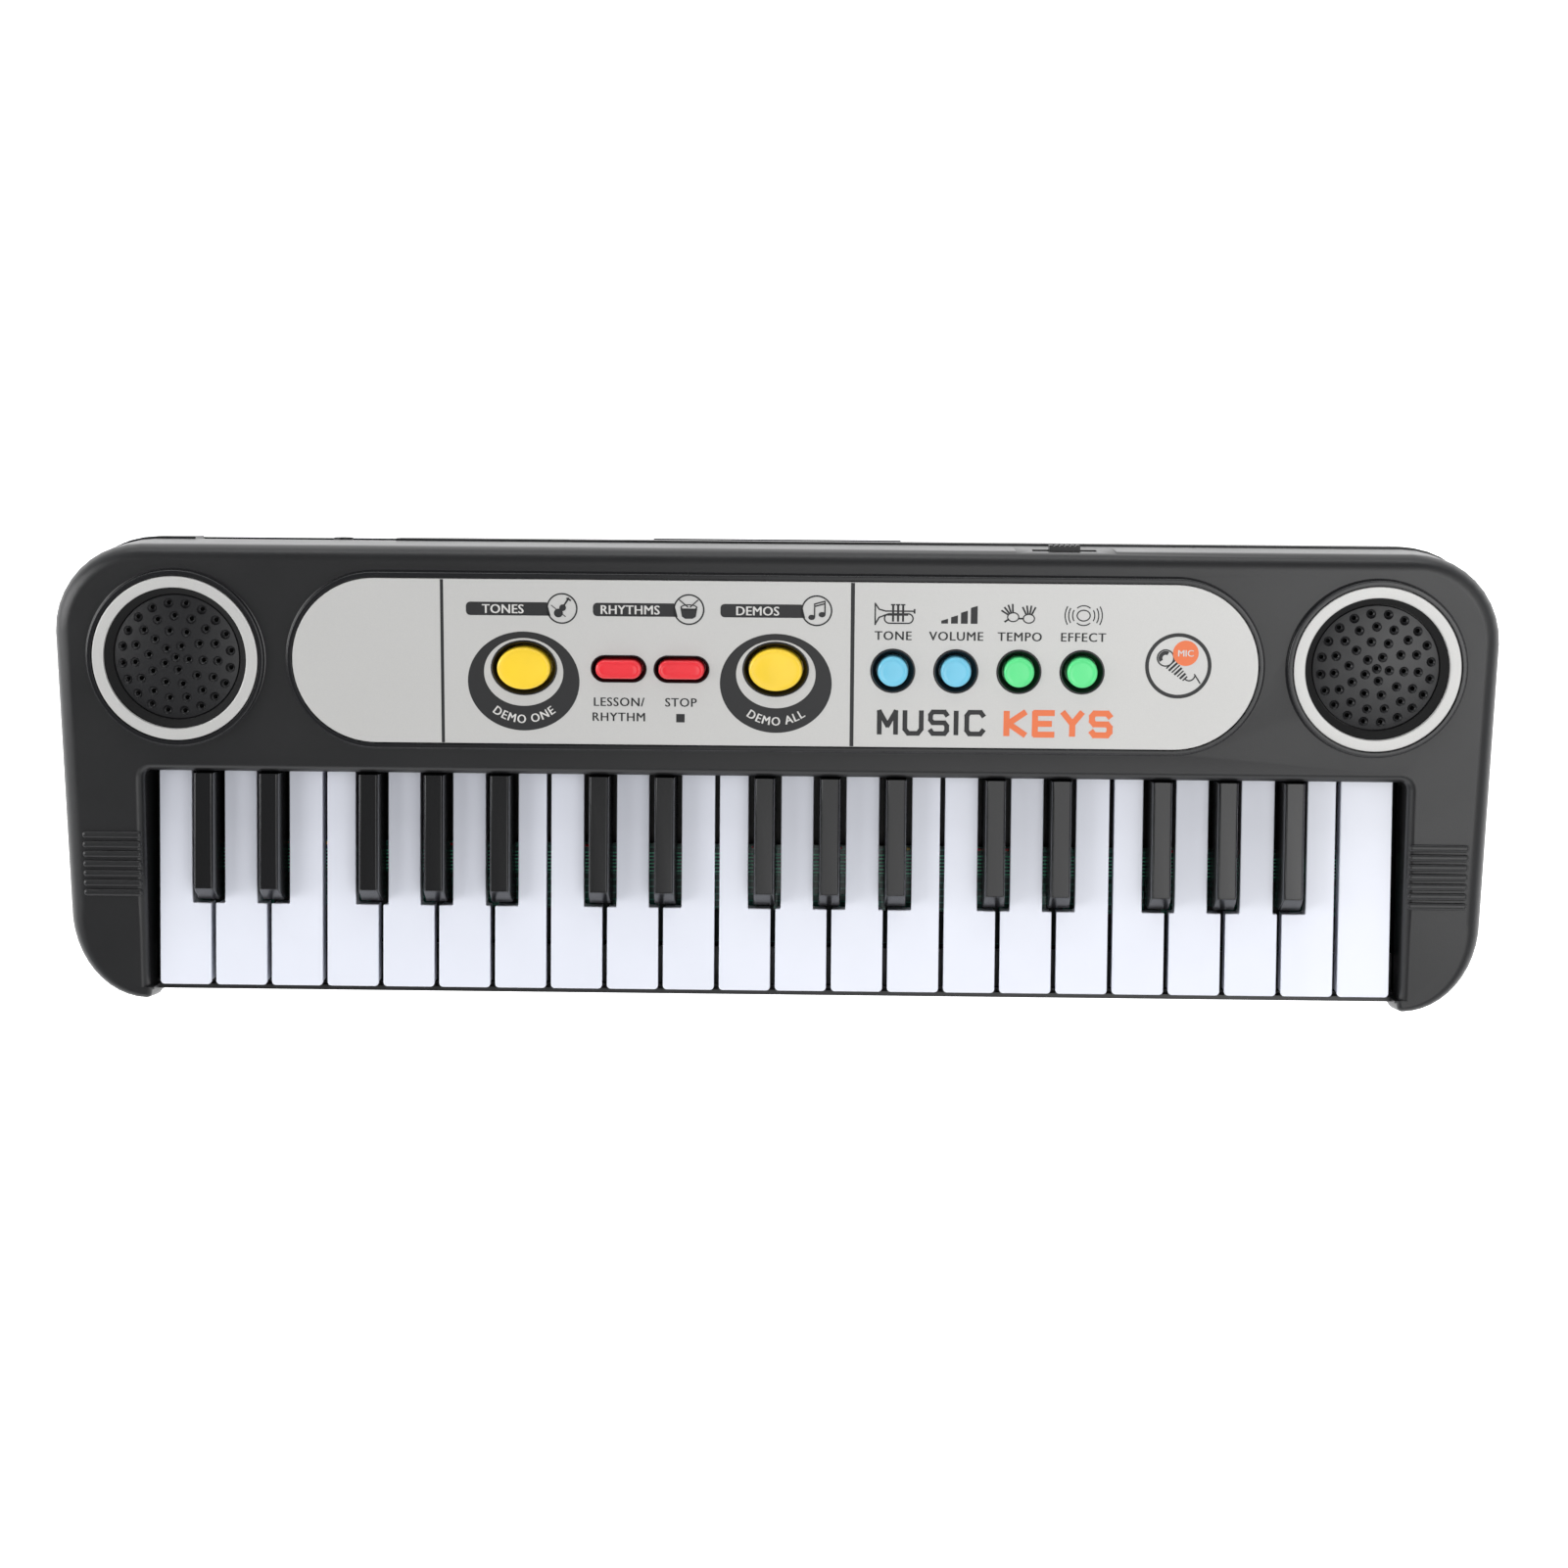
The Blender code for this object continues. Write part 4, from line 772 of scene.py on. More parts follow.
class ControlPanel(Builder):
    """The silver plate, and the buttons in their dished collars."""

    def build(self) -> None:
        self._plate()
        for name, look in BUTTONS.items():
            x, s = self.place(name)
            self._button(name, look, x, s)
            self._collar(name, look, x, s)

    def place(self, name: str) -> Point:
        """Where a button stands on the deck, from its box."""
        low, high = limits(name)
        middle = (low + high) / 2
        offset = middle - self.deck.origin
        return middle.x, offset.y * math.cos(DECK_TILT) + offset.z * math.sin(DECK_TILT)

    def _plate(self) -> None:
        """The plate with its rounded edge and a hole for each button."""
        rings = [self.deck.ring(stadium(PANEL_HALF_LENGTH - shrink, DISC_RADIUS - shrink, 40), n)
                 for shrink, n in ((0.15, -PLATE_THICKNESS), (0.15, -0.16), (0.2, -0.05), (0.31, 0.0))]
        plate = loft("panel_plate", rings)
        for name, look in BUTTONS.items():
            outline = look.outline(*self.place(name), *look.hole)
            cut(plate, loft("hole", [self.deck.ring(outline, n) for n in (-4.0, 4.0)]))
        self.shop.fit(soften(plate), SILVER, stands_for=["control_panel"])

    def _button(self, name: str, look: ButtonLook, x: float, s: float) -> None:
        """A cap whose edge rolls over into a slightly domed top with a raised lip."""
        half_x, half_s = look.half
        # Level, and how far the outline stands out from the cap's
        levels = ((FLANGE_TOP - 2.2, -half_s / 2), (FLANGE_TOP - 1.2, -half_s / 2), (FLANGE_TOP - 1.2, 1.2),
                  (FLANGE_TOP, 1.2), (FLANGE_TOP, 0.0), (BUTTON_PROUD - 0.85, 0.0),
                  (BUTTON_PROUD - 0.45, -0.10), (BUTTON_PROUD - 0.18, -0.32), (BUTTON_PROUD - 0.05, -0.62),
                  (BUTTON_PROUD - 0.06, -0.85), (BUTTON_PROUD - 0.16, -1.05))
        rings = [self.deck.ring(look.outline(x, s, half_x + grow, half_s + grow), n) for n, grow in levels]
        for share in (0.8, 0.5, 0.2):
            rise = 0.14 * (1 - share ** 2)
            reach = (half_x - 1.05) * share + (half_x - half_s) * (1 - share) * look.pill
            outline = look.outline(x, s, reach, (half_s - 1.05) * share)
            rings.append(self.deck.ring(outline, BUTTON_PROUD - 0.16 + rise))
        self.shop.fit(soften(loft("fine_" + name, rings), 40.0), look.finish, name, [name])

    def _collar(self, name: str, look: ButtonLook, x: float, s: float) -> None:
        """The dished ring round a cap, darker than the casing as painted shade, with a thin raised outer lip.
        """
        near_x, near_s = [half + 0.4 for half in look.half]
        far_x, far_s = [half - 0.06 for half in look.hole]
        # Share of the way from the hole to the cap, and level
        sections = ((0.0, -1.25), (0.0, 0.10), (0.08, 0.18), (0.24, 0.18), (0.36, 0.06), (0.50, -0.5),
                    (0.72, -1.3), (0.95, -2.2), (1.0, -3.0), (0.9, -3.0), (0.6, -1.9), (0.3, -1.3))
        rings = []
        for share, n in sections:
            half_x, half_s = far_x + (near_x - far_x) * share, far_s + (near_s - far_s) * share
            rings.append(self.deck.ring(look.outline(x, s, half_x, half_s), n))
        # Painted shade: the collar is darker than the casing plastic it stands for.
        self.shop.fit(soften(loft("collar_" + name, rings, closed=True), 40.0), COLLAR_PAINTED_SHADE)


# Stroke letters on a unit square
STROKES: dict[str, list[list[Point]]] = {
    "M": [[(0, 0), (0, 1), (0.5, 0.35), (1, 1), (1, 0)]],
    "U": [[(0, 1), (0, 0.2), (0.2, 0), (0.8, 0), (1, 0.2), (1, 1)]],
    "S": [[(1, 0.86), (0.86, 1), (0.14, 1), (0, 0.86), (0, 0.64), (0.14, 0.5), (0.86, 0.5), (1, 0.36),
           (1, 0.14), (0.86, 0), (0.14, 0), (0, 0.14)]],
    "I": [[(0, 0), (0, 1)]],
    "C": [[(1, 0.84), (0.84, 1), (0.16, 1), (0, 0.84), (0, 0.16), (0.16, 0), (0.84, 0), (1, 0.16)]],
    "K": [[(0, 0), (0, 1)], [(1, 1), (0.1, 0.5), (1, 0)]],
    "E": [[(1, 1), (0, 1), (0, 0), (1, 0)], [(0, 0.5), (0.85, 0.5)]],
    "Y": [[(0, 1), (0.5, 0.5), (1, 1)], [(0.5, 0.55), (0.5, 0)]],
}
NARROW_PITCH = 0.42


class Print:
    """Thin printed shapes on the panel, gathered into one mesh for each ink."""

    def __init__(self, shop: Workshop, name: str, layer: int = 1) -> None:
        self.shop = shop
        self.deck = shop.deck
        self.name = name
        self.top = PRINT_LAYER * layer
        self.turn = 0
        self.bm = bmesh.new()

    def area(self, loop: Sequence[Point], lift: float = 0.0) -> None:
        """Prints a filled outline."""
        add_loft(self.bm, [self.deck.ring(loop, LOWEST_PRINT), self.deck.ring(loop, self.top + lift)])

    def band(self, outer: Sequence[Point], inner: Sequence[Point]) -> None:
        """Prints between two outlines with the same number of points."""
        levels = ((outer, LOWEST_PRINT), (outer, self.top), (inner, self.top), (inner, LOWEST_PRINT))
        add_loft(self.bm, [self.deck.ring(loop, n) for loop, n in levels], closed=True)

    def line(self, points: Sequence[Point], width: float) -> None:
        """Prints a stroke along a chain of points, each length a hair off the last so that none coincide."""
        half = width / 2
        for start, end in zip(points, points[1:]):
            along = (Vector(end) - Vector(start)).normalized()
            across = Vector((-along.y, along.x)) * half
            tip = along * half * 0.6
            a, b = Vector(start) - tip, Vector(end) + tip
            self.turn = (self.turn + 1) % 12
            corners = (a - across, b - across, b + across, a + across)
            self.area([tuple(corner) for corner in corners], self.turn * STROKE_STEP)

    def lines(self, width: float, *chains: Sequence[Point]) -> None:
        """Prints several strokes of one width."""
        for chain in chains:
            self.line(chain, width)

    def arc(self, x: float, s: float, radius: float, start: float, end: float, width: float) -> None:
        """Prints part of a circle, with angles in degrees."""
        steps = max(4, int(abs(end - start) / 12))
        angles = [math.radians(start + (end - start) * i / steps) for i in range(steps + 1)]
        self.area([(x + reach * math.cos(a), s + reach * math.sin(a))
                   for reach, turns in ((radius + width / 2, angles), (radius - width / 2, angles[::-1]))
                   for a in turns])

    def words(self, text: str, x: float, s: float, height: float, spacing: float, bold: float,
              bend: float = 0.0) -> None:
        """Prints a word.

        Args:
            text: what it says.
            x: middle along the deck.
            s: baseline.
            height: cap height.
            spacing: space between letters, 1.0 as the font has it.
            bold: how far to either side of the middle each of the two copies stands.
            bend: radius of a circle about (x, s) that the baseline follows, or 0.
        """
        curve = bpy.data.curves.new("words", "FONT")
        curve.body = text
        curve.size = height / 0.72
        curve.space_character = spacing
        curve.align_x = "CENTER"
        curve.resolution_u = 3
        curve.extrude = 0.04
        holder = bpy.data.objects.new("words", curve)
        bpy.context.scene.collection.objects.link(holder)
        bpy.context.view_layer.update()
        mesh = bpy.data.meshes.new_from_object(holder.evaluated_get(bpy.context.evaluated_depsgraph_get()))
        bpy.data.objects.remove(holder, do_unlink=True)
        for index, shift in enumerate((-bold, bold)):
            copy = mesh.copy()
            for vertex in copy.vertices:
                flat_x, flat_y, lift = vertex.co
                flat_x += shift
                if bend:
                    turn = flat_x / bend
                    reach = bend - flat_y
                    flat_x, flat_y = reach * math.sin(turn), -reach * math.cos(turn)
                level = self.top - 0.04 + lift + index * 0.005
                vertex.co = Vector(self.deck.at(x + flat_x, s + flat_y, level)) * MM
            self.bm.from_mesh(copy)
            bpy.data.meshes.remove(copy)
        bpy.data.meshes.remove(mesh)

    def strokes(self, text: str, x: float, s: float, size: Point, width: float, pitch: float) -> None:
        """Prints a word in plain stroke letters, each as wide and high as size says."""
        for letter in text:
            for chain in STROKES[letter]:
                self.line([(x + across * size[0], s + up * size[1]) for across, up in chain], width)
            x += pitch * (NARROW_PITCH if letter == "I" else 1.0)

    def finish(self, finish: Finish) -> None:
        """Turns the gathered shapes into one piece."""
        self.shop.fit(mesh_object(self.name, self.bm), finish)


class Trim(Builder):
    """Rims round the panel and the speaker rings, glossy and darker than the casing as painted shade, and dark
    funnel liners inside the rings as painted shade.
    """

    def build(self) -> None:
        self._rim("panel_rim", lambda grow: stadium(PANEL_HALF_LENGTH + grow, DISC_RADIUS + grow, 48))
        for word in ("left", "right"):
            x = middle_x(f"speaker_ring_{word}")
            self._rim(f"speaker_rim_{word}",
                      lambda grow, x=x: ellipse(DISC_RADIUS + grow, DISC_RADIUS + grow, 128, x))
            self._funnel(word, x)

    def _rim(self, name: str, outline: Callable[[float], list[Point]]) -> None:
        """A low kerb: a gap beside the plate, a flat top, and a rounded outer edge down to the deck."""
        profile = ((0.20, -1.2), (0.20, -0.18), (0.30, -0.08), (1.20, -0.10), (1.45, -0.22), (1.60, -0.50),
                   (1.66, -1.0), (1.70, -1.52), (1.98, -1.62), (2.02, -2.1))
        rings = [self.deck.ring(outline(grow), n) for grow, n in profile]
        # Painted shade: the rim is darker than the casing plastic it stands for.
        self.shop.fit(soften(loft(name, rings, closed=True), 50.0), COLLAR_PAINTED_SHADE)

    def _funnel(self, word: str, x: float) -> None:
        # A dark liner over the casing's funnel inside the ring, as painted shade.
        outer = RING_INNER_RADIUS
        inner = GRILLE_RADIUS + 0.3
        profile = ((outer - 0.05, -1.28), (outer - 0.15, -1.2), (inner - 0.08, -FUNNEL_DEPTH + 0.02),
                   (inner - 0.12, -3.6), (inner - 0.02, -3.6), (inner - 0.01, -FUNNEL_DEPTH - 0.05))
        liner = self.deck.turned(f"funnel_{word}", x, 0.0, profile, 96, closed=True)
        self.shop.fit(soften(liner, 40.0), BLACK_PAPER_AND_PAINTED_SHADE)


class PanelPrint(Builder):
    """Everything printed on the control panel: generic words and symbols only."""

    def build(self) -> None:
        dark, light = Print(self.shop, "print_dark"), Print(self.shop, "print_light", 2)
        orange, top = Print(self.shop, "print_orange", 2), Print(self.shop, "print_top", 3)
        white = Print(self.shop, "print_white", 3)
        self._dividers(dark)
        self._plates(dark, light)
        self._bars(dark, light, top)
        self._labels(dark)
        self._round_icons(dark)
        self._microphone(dark, orange, white)
        self._title(dark, orange)
        layers = ((dark, INK), (light, INK_LIGHT), (orange, INK_ORANGE), (top, INK), (white, INK_LIGHT))
        for layer, finish in layers:
            layer.finish(finish)

    @staticmethod
    def _dividers(dark: Print) -> None:
        for x, width in ((-93.4, 0.9), (22.0, 1.1)):
            dark.area(box_loop(x - width / 2, -23.3, x + width / 2, 23.3))

    @staticmethod
    def _plates(dark: Print, light: Print) -> None:
        """The black ovals round the yellow buttons, open over the hole, with words along the lower edge."""
        for x, text in ((-70.5, "DEMO ONE"), (0.55, "DEMO ALL")):
            dark.band(ellipse(15.75, 14.15, 72, x, -5.5), ellipse(11.2, 9.7, 72, x, -2.9))
            light.words(text, x, -3.1, 2.5, 1.12, bend=14.4, bold=0.08)

    @staticmethod
    def _bars(dark: Print, light: Print, top: Print) -> None:
        """Three headings, each a bar that ends in a round symbol."""
        for left, right, circle, text in ((-86.6, -63.8, -59.6, "TONES"), (-50.9, -28.1, -23.95, "RHYTHMS"),
                                          (-15.1, 7.7, 11.9, "DEMOS")):
            bar = [(left, 13.2, 1.2), (right + 1.0, 13.2, 0.1), (right, 17.0, 0.1), (left, 17.0, 1.2)]
            dark.area(rounded(bar))
            light.words(text, (left + right) / 2 - 1.0, 13.85, 2.6, 1.05, bold=0.08)
            dark.band(ellipse(4.4, 4.4, 40, circle, 15.3), ellipse(3.95, 3.95, 40, circle, 15.3))
        for x, s, r in ((-60.6, 14.0, 1.25), (-59.4, 15.5, 0.95)):
            top.area(ellipse(r, r, 20, x, s))
        top.line([(-59.6, 15.3), (-57.7, 18.2)], 0.5)
        top.line([(-58.2, 18.2), (-57.2, 17.6)], 0.45)
        top.line([(-62.6, 16.2), (-58.6, 13.0)], 0.22)
        drum = [(-26.3, 15.6), (-21.6, 15.6), (-22.0, 13.3), (-22.9, 12.7), (-25.0, 12.7), (-25.9, 13.3)]
        top.area(drum)
        top.band(ellipse(2.4, 0.9, 24, -23.95, 15.9), ellipse(2.0, 0.6, 24, -23.95, 15.9))
        top.lines(0.32, [(-26.6, 18.0), (-24.2, 16.0)], [(-21.4, 18.0), (-23.6, 16.0)])
        top.area(ellipse(0.95, 0.75, 16, 10.5, 13.4))
        top.area(ellipse(0.95, 0.75, 16, 13.4, 14.2))
        top.lines(0.36, [(11.3, 13.5), (11.3, 17.2), (14.2, 18.0), (14.2, 14.3)], [(11.3, 16.5), (14.2, 17.3)])

    @staticmethod
    def _labels(dark: Print) -> None:
        for text, x, s in (("LESSON/", -43.7, -12.4), ("RHYTHM", -43.7, -16.7), ("STOP", -26.2, -12.4)):
            dark.words(text, x, s, 2.55, 1.1, bold=0.07)
        dark.area(box_loop(-27.5, -16.9, -25.1, -14.5))
        for text, x in (("TONE", 33.4), ("VOLUME", 51.1), ("TEMPO", 68.9), ("EFFECT", 86.6)):
            dark.words(text, x, 7.2, 2.6, 1.12, bold=0.08)

    @staticmethod
    def _round_icons(dark: Print) -> None:
        """A trumpet, rising bars, a pair of hands and waves, above the round buttons."""
        dark.lines(0.4, [(28.3, 17.6), (28.3, 11.5)], [(28.3, 17.5), (29.4, 15.9), (31.2, 15.4), (39.2, 15.4)],
                   [(28.3, 11.6), (29.4, 13.6), (31.2, 14.3), (37.4, 14.3)])
        dark.line([(39.3, 14.9), (39.3, 15.9)], 0.5)
        dark.band(stadium(4.2, 1.55, 10, 34.9, 13.3), stadium(3.8, 1.15, 10, 34.9, 13.3))
        for x in (33.3, 34.7, 36.1):
            dark.line([(x, 12.6), (x, 17.0)], 0.6)
            dark.line([(x - 0.5, 17.2), (x + 0.5, 17.2)], 0.4)
        for index, height in enumerate((1.4, 2.4, 3.7, 5.1)):
            x = 46.8 + index * 2.75
            dark.area([(x, 12.0), (x + 1.9, 12.0), (x + 1.9, 12.0 + height), (x, 12.0 + height - 0.6)])
        for x, s, turn in ((66.9, 14.0, 150.0), (71.3, 13.6, 118.0)):
            dark.band(ellipse(1.75, 1.45, 20, x, s), ellipse(1.4, 1.1, 20, x, s))
            # Four fingers and a thumb: angle, and reach along and up the deck
            fingers = [(turn - finger * 19.0, 3.7, 3.6) for finger in range(4)] + [(turn + 62.0, 2.7, 2.5)]
            for degrees, across, up in fingers:
                angle = math.radians(degrees)
                dark.line([(x + 1.5 * math.cos(angle), s + 1.2 * math.sin(angle)),
                           (x + across * math.cos(angle), s + up * math.sin(angle))], 0.5)
        dark.band(ellipse(2.0, 1.7, 24, 86.6, 14.6), ellipse(1.65, 1.35, 24, 86.6, 14.6))
        for radius in (3.1, 4.2, 5.2):
            for middle in (0.0, 180.0):
                dark.arc(86.6, 14.6, radius, middle - 30, middle + 30, 0.34)
        for middle in (90.0, 270.0):
            dark.arc(86.6, 14.6, 2.8, middle - 42, middle + 42, 0.34)

    @staticmethod
    def _microphone(dark: Print, orange: Print, white: Print) -> None:
        """A microphone in a ring, with an orange dot."""
        x, s = 113.4, 0.6
        dark.band(ellipse(9.3, 9.3, 64, x, s), ellipse(8.25, 8.25, 64, x, s))
        dark.band(ellipse(2.5, 2.5, 28, x - 3.6, s + 2.2), ellipse(2.1, 2.1, 28, x - 3.6, s + 2.2))
        dark.arc(x - 3.6, s + 2.2, 1.45, 60, 215, 1.1)
        for step in range(7):
            middle = Vector((x - 2.0 + step * 0.66, s + 0.5 - step * 0.68))
            across = Vector((0.72, 0.70)) * (1.75 - step * 0.17)
            dark.line([tuple(middle - across), tuple(middle + across)], 0.62 if step % 2 else 0.4)
        dark.arc(x + 3.1, s - 2.6, 1.6, 215, 350, 0.4)
        dark.line([(x + 4.6, s - 2.4), (x + 6.2, s - 4.9)], 0.4)
        orange.area(ellipse(3.6, 3.6, 40, x + 2.0, s + 3.6))
        white.words("MIC", x + 2.0, s + 2.7, 1.9, 1.0, bold=0.05)

    @staticmethod
    def _title(dark: Print, orange: Print) -> None:
        """A plain title in upright strokes: a dark word and an orange one."""
        dark.strokes("MUSIC", 29.8, -19.4, (4.6, 6.2), 1.35, 7.2)
        orange.strokes("KEYS", 65.6, -19.4, (5.0, 6.2), 1.7, 8.0)


@dataclass
class Speaker(Builder):
    """One loudspeaker: silver ring, domed grille with rings of dimples, and the driver behind it."""

    word: str

    def build(self) -> None:
        x = middle_x(f"speaker_ring_{self.word}")
        self._ring(x)
        self._grille(x)
        node = f"speaker_driver_{self.word}"
        self.shop.fit(self.shop.refined(node), STEEL, stands_for=[node])
        self._cone(x)

    def _cone(self, x: float) -> None:
        """The driver's black paper cone, just behind the grille."""
        top = -RAISE - DECK_THICKNESS - 1.75
        profile = ((16.4, top - 0.15), (16.4, top), (15.2, top + 0.25), (14.0, top), (5.0, top - 0.1),
                   (3.5, top + 0.15), (0.4, top + 0.25))
        self.shop.fit(soften(self.deck.turned(f"cone_{self.word}", x, 0.0, profile), 40.0), BLACK_PAPER_AND_PAINTED_SHADE)

    def _ring(self, x: float) -> None:
        inner, outer = RING_INNER_RADIUS, DISC_RADIUS - 0.15
        profile = ((inner, -PLATE_THICKNESS), (inner, -0.4), (inner + 0.12, -0.12), (inner + 0.4, 0.0),
                   (outer - 0.35, 0.0), (outer - 0.1, -0.1), (outer, -0.35), (outer, -PLATE_THICKNESS))
        ring = self.deck.turned(f"ring_{self.word}", x, 0.0, profile, 120, closed=True)
        self.shop.fit(soften(ring, 40.0), SILVER, stands_for=[f"speaker_ring_{self.word}"])

    def _grille(self, x: float) -> None:
        """The dome, cut by five circles of dimples with a hole in each."""
        shares = (0.9, 0.75, 0.6, 0.45, 0.3, 0.15, 0.03)
        profile = [(21.0, FLANGE_TOP - 1.2), (21.0, FLANGE_TOP), (GRILLE_RADIUS, FLANGE_TOP),
                   (GRILLE_RADIUS, -GRILLE_SINK - 0.25), (GRILLE_RADIUS - 0.25, -GRILLE_SINK)]
        dome = [(share, GRILLE_DOME * (1 - share ** 2)) for share in shares]
        profile += [(GRILLE_RADIUS * share, -GRILLE_SINK + rise) for share, rise in dome]
        profile += [(GRILLE_INSIDE * share, -GRILLE_SINK - 1.2 + rise) for share, rise in reversed(dome)]
        profile += [(GRILLE_INSIDE, -GRILLE_SINK - 1.2), (GRILLE_INSIDE, FLANGE_TOP - 1.2)]
        rings = [flat_ring(ellipse(r, r, 96), n) for r, n in profile]
        grille = loft(f"grille_{self.word}", rings, closed=True)
        for count, radius in ((1, 0.0), (5, 3.6), (10, 7.8), (15, 11.9), (20, 15.6)):
            cut(grille, self._dimples(count, radius))
        grille.data.transform(self.deck.matrix(x, 0.0, 0.0) @ Matrix.Scale(1 / MM, 4))
        self.shop.fit(soften(grille, 30.0), GRILLE, stands_for=[f"speaker_grille_{self.word}"])

    def _dimples(self, count: int, radius: float) -> Object:
        """Cutters for one circle of dimples, on the dome's slope."""
        top = -GRILLE_SINK + GRILLE_DOME * (1 - (radius / GRILLE_RADIUS) ** 2)
        profile = ((0.68, top - 4.0), (0.68, top - 0.75), (0.95, top - 0.6), (1.22, top - 0.25),
                   (1.38, top - 0.02), (1.7, top + 0.9))
        cutter = stack("dimples", *[(ellipse(r, r, 20), n) for r, n in profile])
        return cutter if count == 1 else self.shop.scatter.circle(cutter, count, radius, 0.31 * radius)


class Electronics(Builder):
    """Boards, contacts and the rail behind the keys, with small parts that show between the keys."""

    def build(self) -> None:
        finishes = {"main_circuit_board": BOARD, "key_circuit_board": BOARD, "key_contact_strip": RUBBER,
                    "key_pivot_rail": CASING}
        for node, finish in finishes.items():
            self.shop.fit(self.shop.refined(node), finish, stands_for=[node])
        low, high = limits("key_circuit_board")
        self._tracks(low, high)
        rear = high.y - 0.7
        self._row("diodes", RED, (low.x + 9, rear, high.z), (1.1, 0.4, 0.9), 0.55)
        self._row("capacitors", YELLOW, (low.x + 5, rear, high.z), (0.6, 0.45, 1.0), 0.35)

    def _tracks(self, low: Vector, high: Vector) -> None:
        """Bright copper tracks along the rear of the key board; part of their brightness is painted light
        where the board lies in shade.
        """
        strip = box_loop(low.x + 2.0, -30.2, high.x - 2.0, -29.75)
        track = stack("tracks", (strip, high.z - 0.02), (strip, high.z + 0.07))
        self.shop.fit(self.shop.scatter.row(track, 6, (0.0, 1.05, 0.0)), TRACK_AND_PAINTED_LIGHT)

    def _row(self, name: str, finish: Finish, place: Sequence[float], half: Sequence[float],
             keep: float) -> None:
        """A row of small parts on the key board, with some places left empty.

        Args:
            name: object name.
            finish: finish of the parts.
            place: middle of the first part's foot.
            half: half length and half width of a part, and its height.
            keep: share of the places that hold a part.
        """
        (x, y, z), (half_x, half_y, height) = place, half
        outline = rounded(box_corners(x - half_x, y - half_y, x + half_x, y + half_y, half_y * 0.6), 2)
        small = stack(name, (outline, z - 0.05), (outline, z + height * 0.7),
                      (inset(outline, half_y * 0.3), z + height))
        self.shop.fit(soften(self.shop.scatter.row(small, PART_COUNT, (PART_PITCH, 0.0, 0.0), keep)), finish)


class PowerSwitch(Builder):
    """The slide switch's knob, ridged on its outer face."""

    def build(self) -> None:
        knob = round_edges(self.shop.refined("power_switch_knob"), 0.25)
        low, high = limits("power_switch_knob")
        middle = (low.x + high.x) / 2
        for index in range(5):
            x = middle + (index - 2) * 1.5
            near, far = high.y - 0.35, high.y + 1
            groove = [(x - 0.25, near), (x + 0.25, near), (x + 0.4, far), (x - 0.4, far)]
            cut(knob, stack("groove", (groove, low.z - 1), (groove, high.z + 1)))
        self.shop.fit(soften(knob), SWITCH, "power_switch_knob", ["power_switch_knob"])


# ---------------------------------------------------------------- stage

WHITE = (1.0, 1.0, 1.0, 1.0)
# Name, place, target, size and power of each soft box
LIGHTS = (
    ("soft_box_top", (0.58, -0.30, 1.60), (0.58, -0.30, 0.0), (1.3, 1.3), 8.5),
    ("soft_box_side", (0.66, -0.25, 1.55), (0.66, -0.25, 0.0), (0.5, 0.7), 1.9),
    ("soft_box_right", (0.80, 0.15, 0.95), (0.1, 0.0, 0.03), (0.8, 0.9), 2.0),
    ("soft_box_left", (-1.0, 0.1, 0.55), (-0.05, 0.0, 0.03), (0.5, 0.9), 6.5),
    ("strip_front", (0.0, -1.6, 0.7), (0.0, 0.0, 0.03), (2.4, 0.7), 6.5),
    ("strip_rear", (0.0, 1.1, 0.45), (0.0, 0.05, 0.03), (1.4, 0.25), 3.5),
)
CAMERA_PLACE = (0.01615, 0.08892, 0.83610)
CAMERA_TURNS = ((-0.4715, "Z"), (3.4615, "X"), (-0.9606, "Y"))
FLOOR_HALF, FLOOR_Z = 4.0, -0.0002


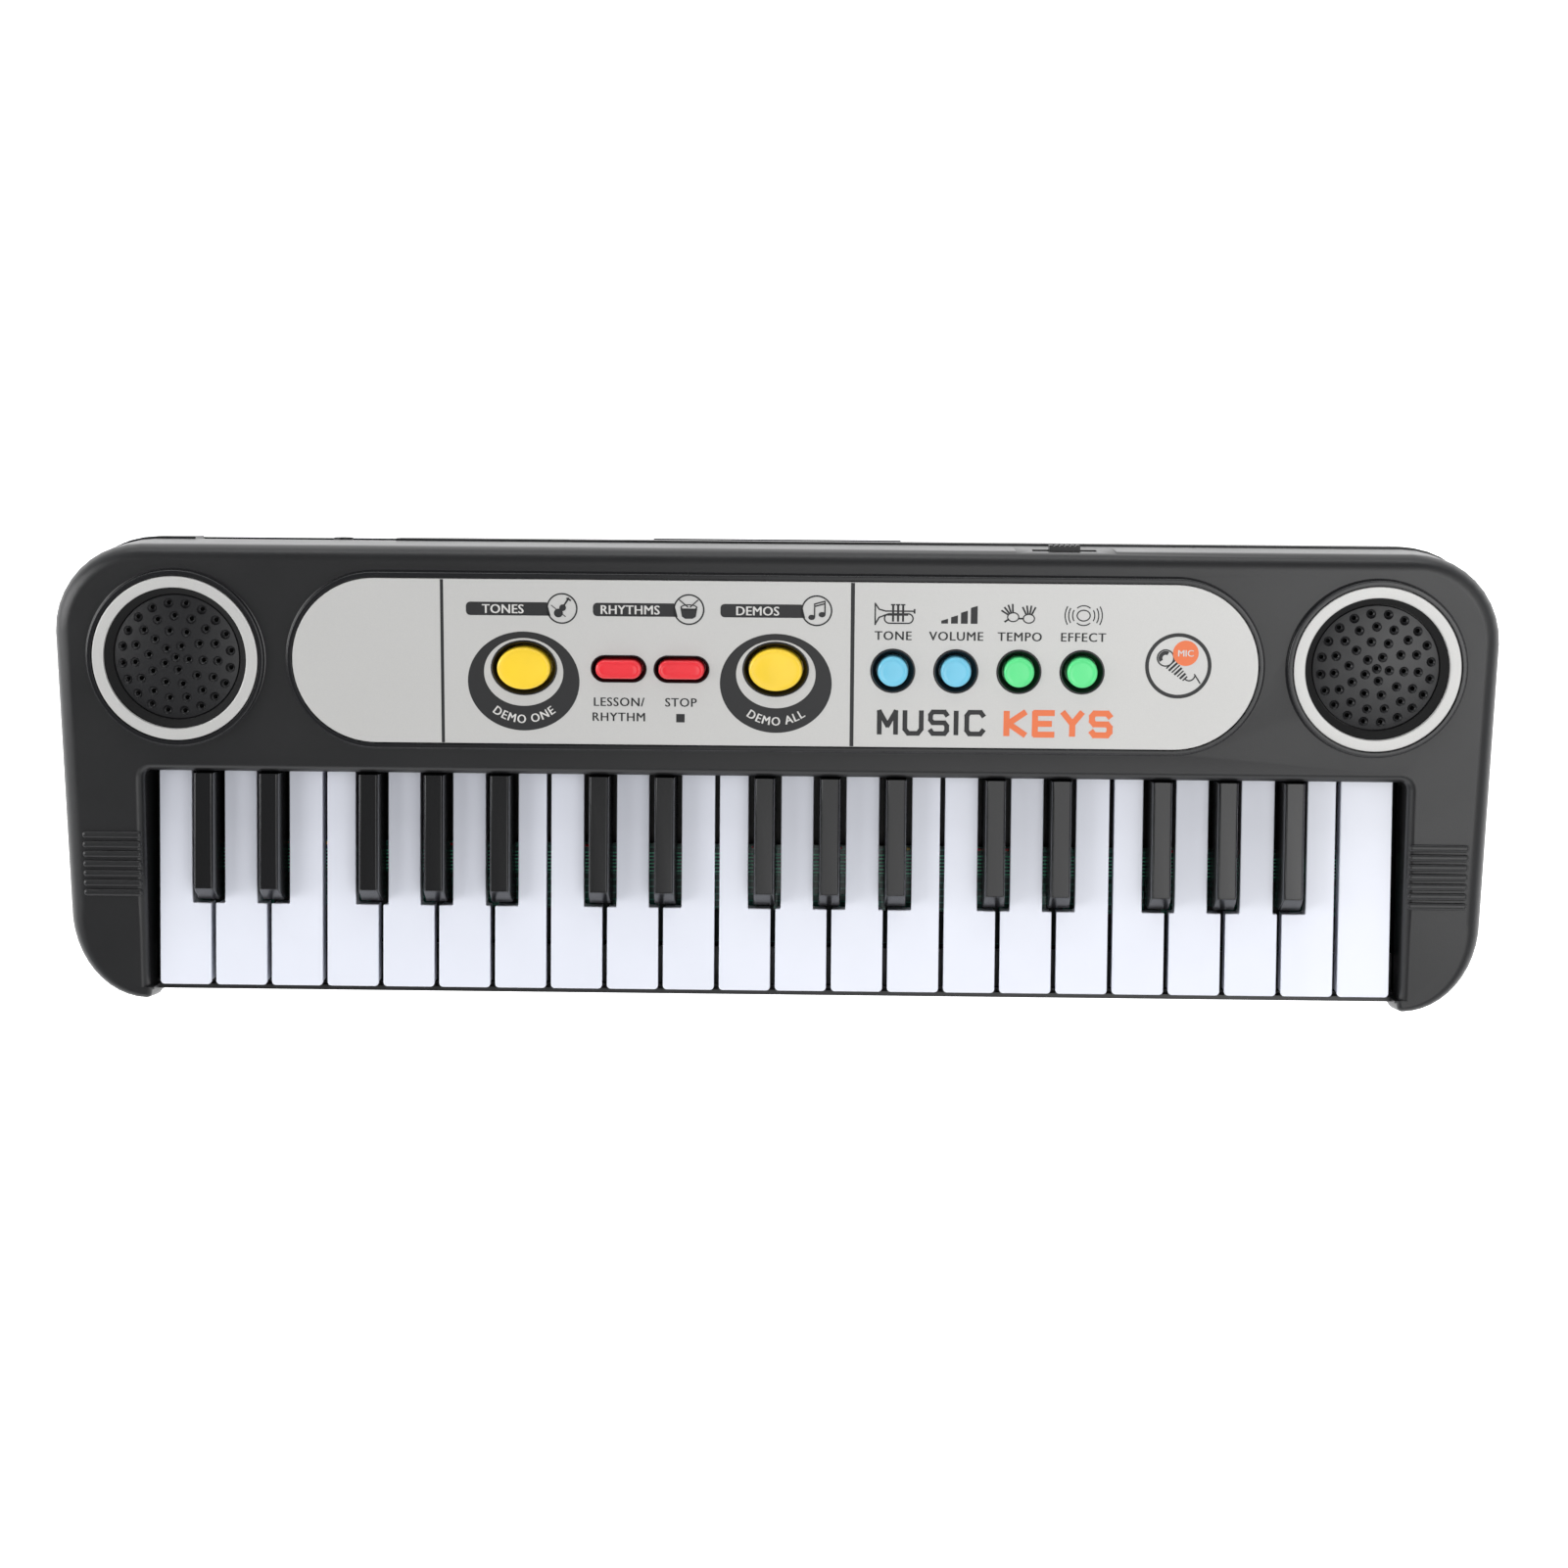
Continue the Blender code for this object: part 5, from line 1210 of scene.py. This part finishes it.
class Studio:
    """Camera, soft lights, pale floor and white surroundings."""

    def build(self) -> None:
        self._camera()
        self._world()
        self._floor()
        for values in LIGHTS:
            self._light(*values)
        bpy.context.scene.view_settings.view_transform = "Standard"

    @staticmethod
    def _camera() -> None:
        """Looks down from above the middle, a little turned."""
        data = bpy.data.cameras.new("camera")
        data.sensor_width = 36.0
        data.lens = 65.37
        data.shift_y = -0.094
        data.clip_end = 10.0
        data.dof.use_dof = False
        made = bpy.data.objects.new("camera", data)
        first, second, third = [Matrix.Rotation(math.radians(angle), 3, axis) for angle, axis in CAMERA_TURNS]
        turn = first @ second @ third
        made.matrix_world = Matrix.Translation(CAMERA_PLACE) @ turn.transposed().to_4x4()
        bpy.context.scene.collection.objects.link(made)
        bpy.context.scene.camera = made

    @staticmethod
    def _light(name: str, place: Sequence[float], target: Sequence[float], size: Point, power: float) -> None:
        """A soft box that faces a point."""
        data = bpy.data.lights.new(name, "AREA")
        data.shape = "RECTANGLE"
        data.size, data.size_y = size
        data.energy = power
        made = bpy.data.objects.new(name, data)
        made.location = place
        made.rotation_euler = (Vector(target) - Vector(place)).to_track_quat("-Z", "Y").to_euler()
        bpy.context.scene.collection.objects.link(made)

    @staticmethod
    def _world() -> None:
        """White where the camera looks past the object, and a softer grey for light and mirrors."""
        world = bpy.data.worlds.new("surroundings")
        bpy.context.scene.world = world
        world.use_nodes = True
        tree = world.node_tree
        place = add_node(tree, "ShaderNodeTexCoord")
        split = add_node(tree, "ShaderNodeSeparateXYZ", {0: place.outputs["Generated"]})
        fall = add_node(tree, "ShaderNodeMapRange", {"Value": split.outputs["Z"], "From Min": 0.15,
                                                     "From Max": 0.85, "To Min": 0.95, "To Max": 0.16})
        back = tree.nodes["Background"]
        feed(tree, back, {"Color": (0.95, 0.97, 1.0, 1.0), "Strength": fall.outputs[0]})
        seen = add_node(tree, "ShaderNodeBackground", {"Color": WHITE, "Strength": 1.0})
        path = add_node(tree, "ShaderNodeLightPath")
        mix = add_node(tree, "ShaderNodeMixShader",
                       {"Fac": path.outputs["Is Camera Ray"], 1: back.outputs[0], 2: seen.outputs[0]})
        feed(tree, tree.nodes["World Output"], {"Surface": mix.outputs[0]})

    @staticmethod
    def _floor() -> None:
        """A pale floor that the camera sees as white."""
        bm = bmesh.new()
        loop = box_loop(-FLOOR_HALF, -FLOOR_HALF, FLOOR_HALF, FLOOR_HALF)
        bm.faces.new([bm.verts.new((x, y, FLOOR_Z)) for x, y in loop])
        made = mesh_object("floor", bm)
        material = bpy.data.materials.new("floor")
        material.use_nodes = True
        tree = material.node_tree
        path = add_node(tree, "ShaderNodeLightPath").outputs
        seen = add_node(tree, "ShaderNodeMath", {0: path["Is Camera Ray"], 1: path["Is Glossy Ray"]},
                        operation="MAXIMUM")
        feed(tree, tree.nodes["Principled BSDF"], {
            "Base Color": (0.9, 0.9, 0.9, 1.0), "Roughness": 0.9, "Emission Color": WHITE,
            "Emission Strength": seen.outputs[0]})
        made.data.materials.append(material)


def main() -> None:
    """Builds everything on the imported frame."""
    logging.basicConfig(level=logging.INFO, format="%(name)s: %(message)s")
    for old in list(bpy.data.objects):
        bpy.data.objects.remove(old, do_unlink=True)
    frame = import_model()
    Studio().build()
    shop = Workshop(frame["nodes"])
    builders = [Casing(shop), Keys(shop), ControlPanel(shop), Trim(shop), PanelPrint(shop),
                Speaker(shop, "left"), Speaker(shop, "right"), Electronics(shop), PowerSwitch(shop)]
    for builder in builders:
        builder.build()


if __name__ == "__main__":
    main()
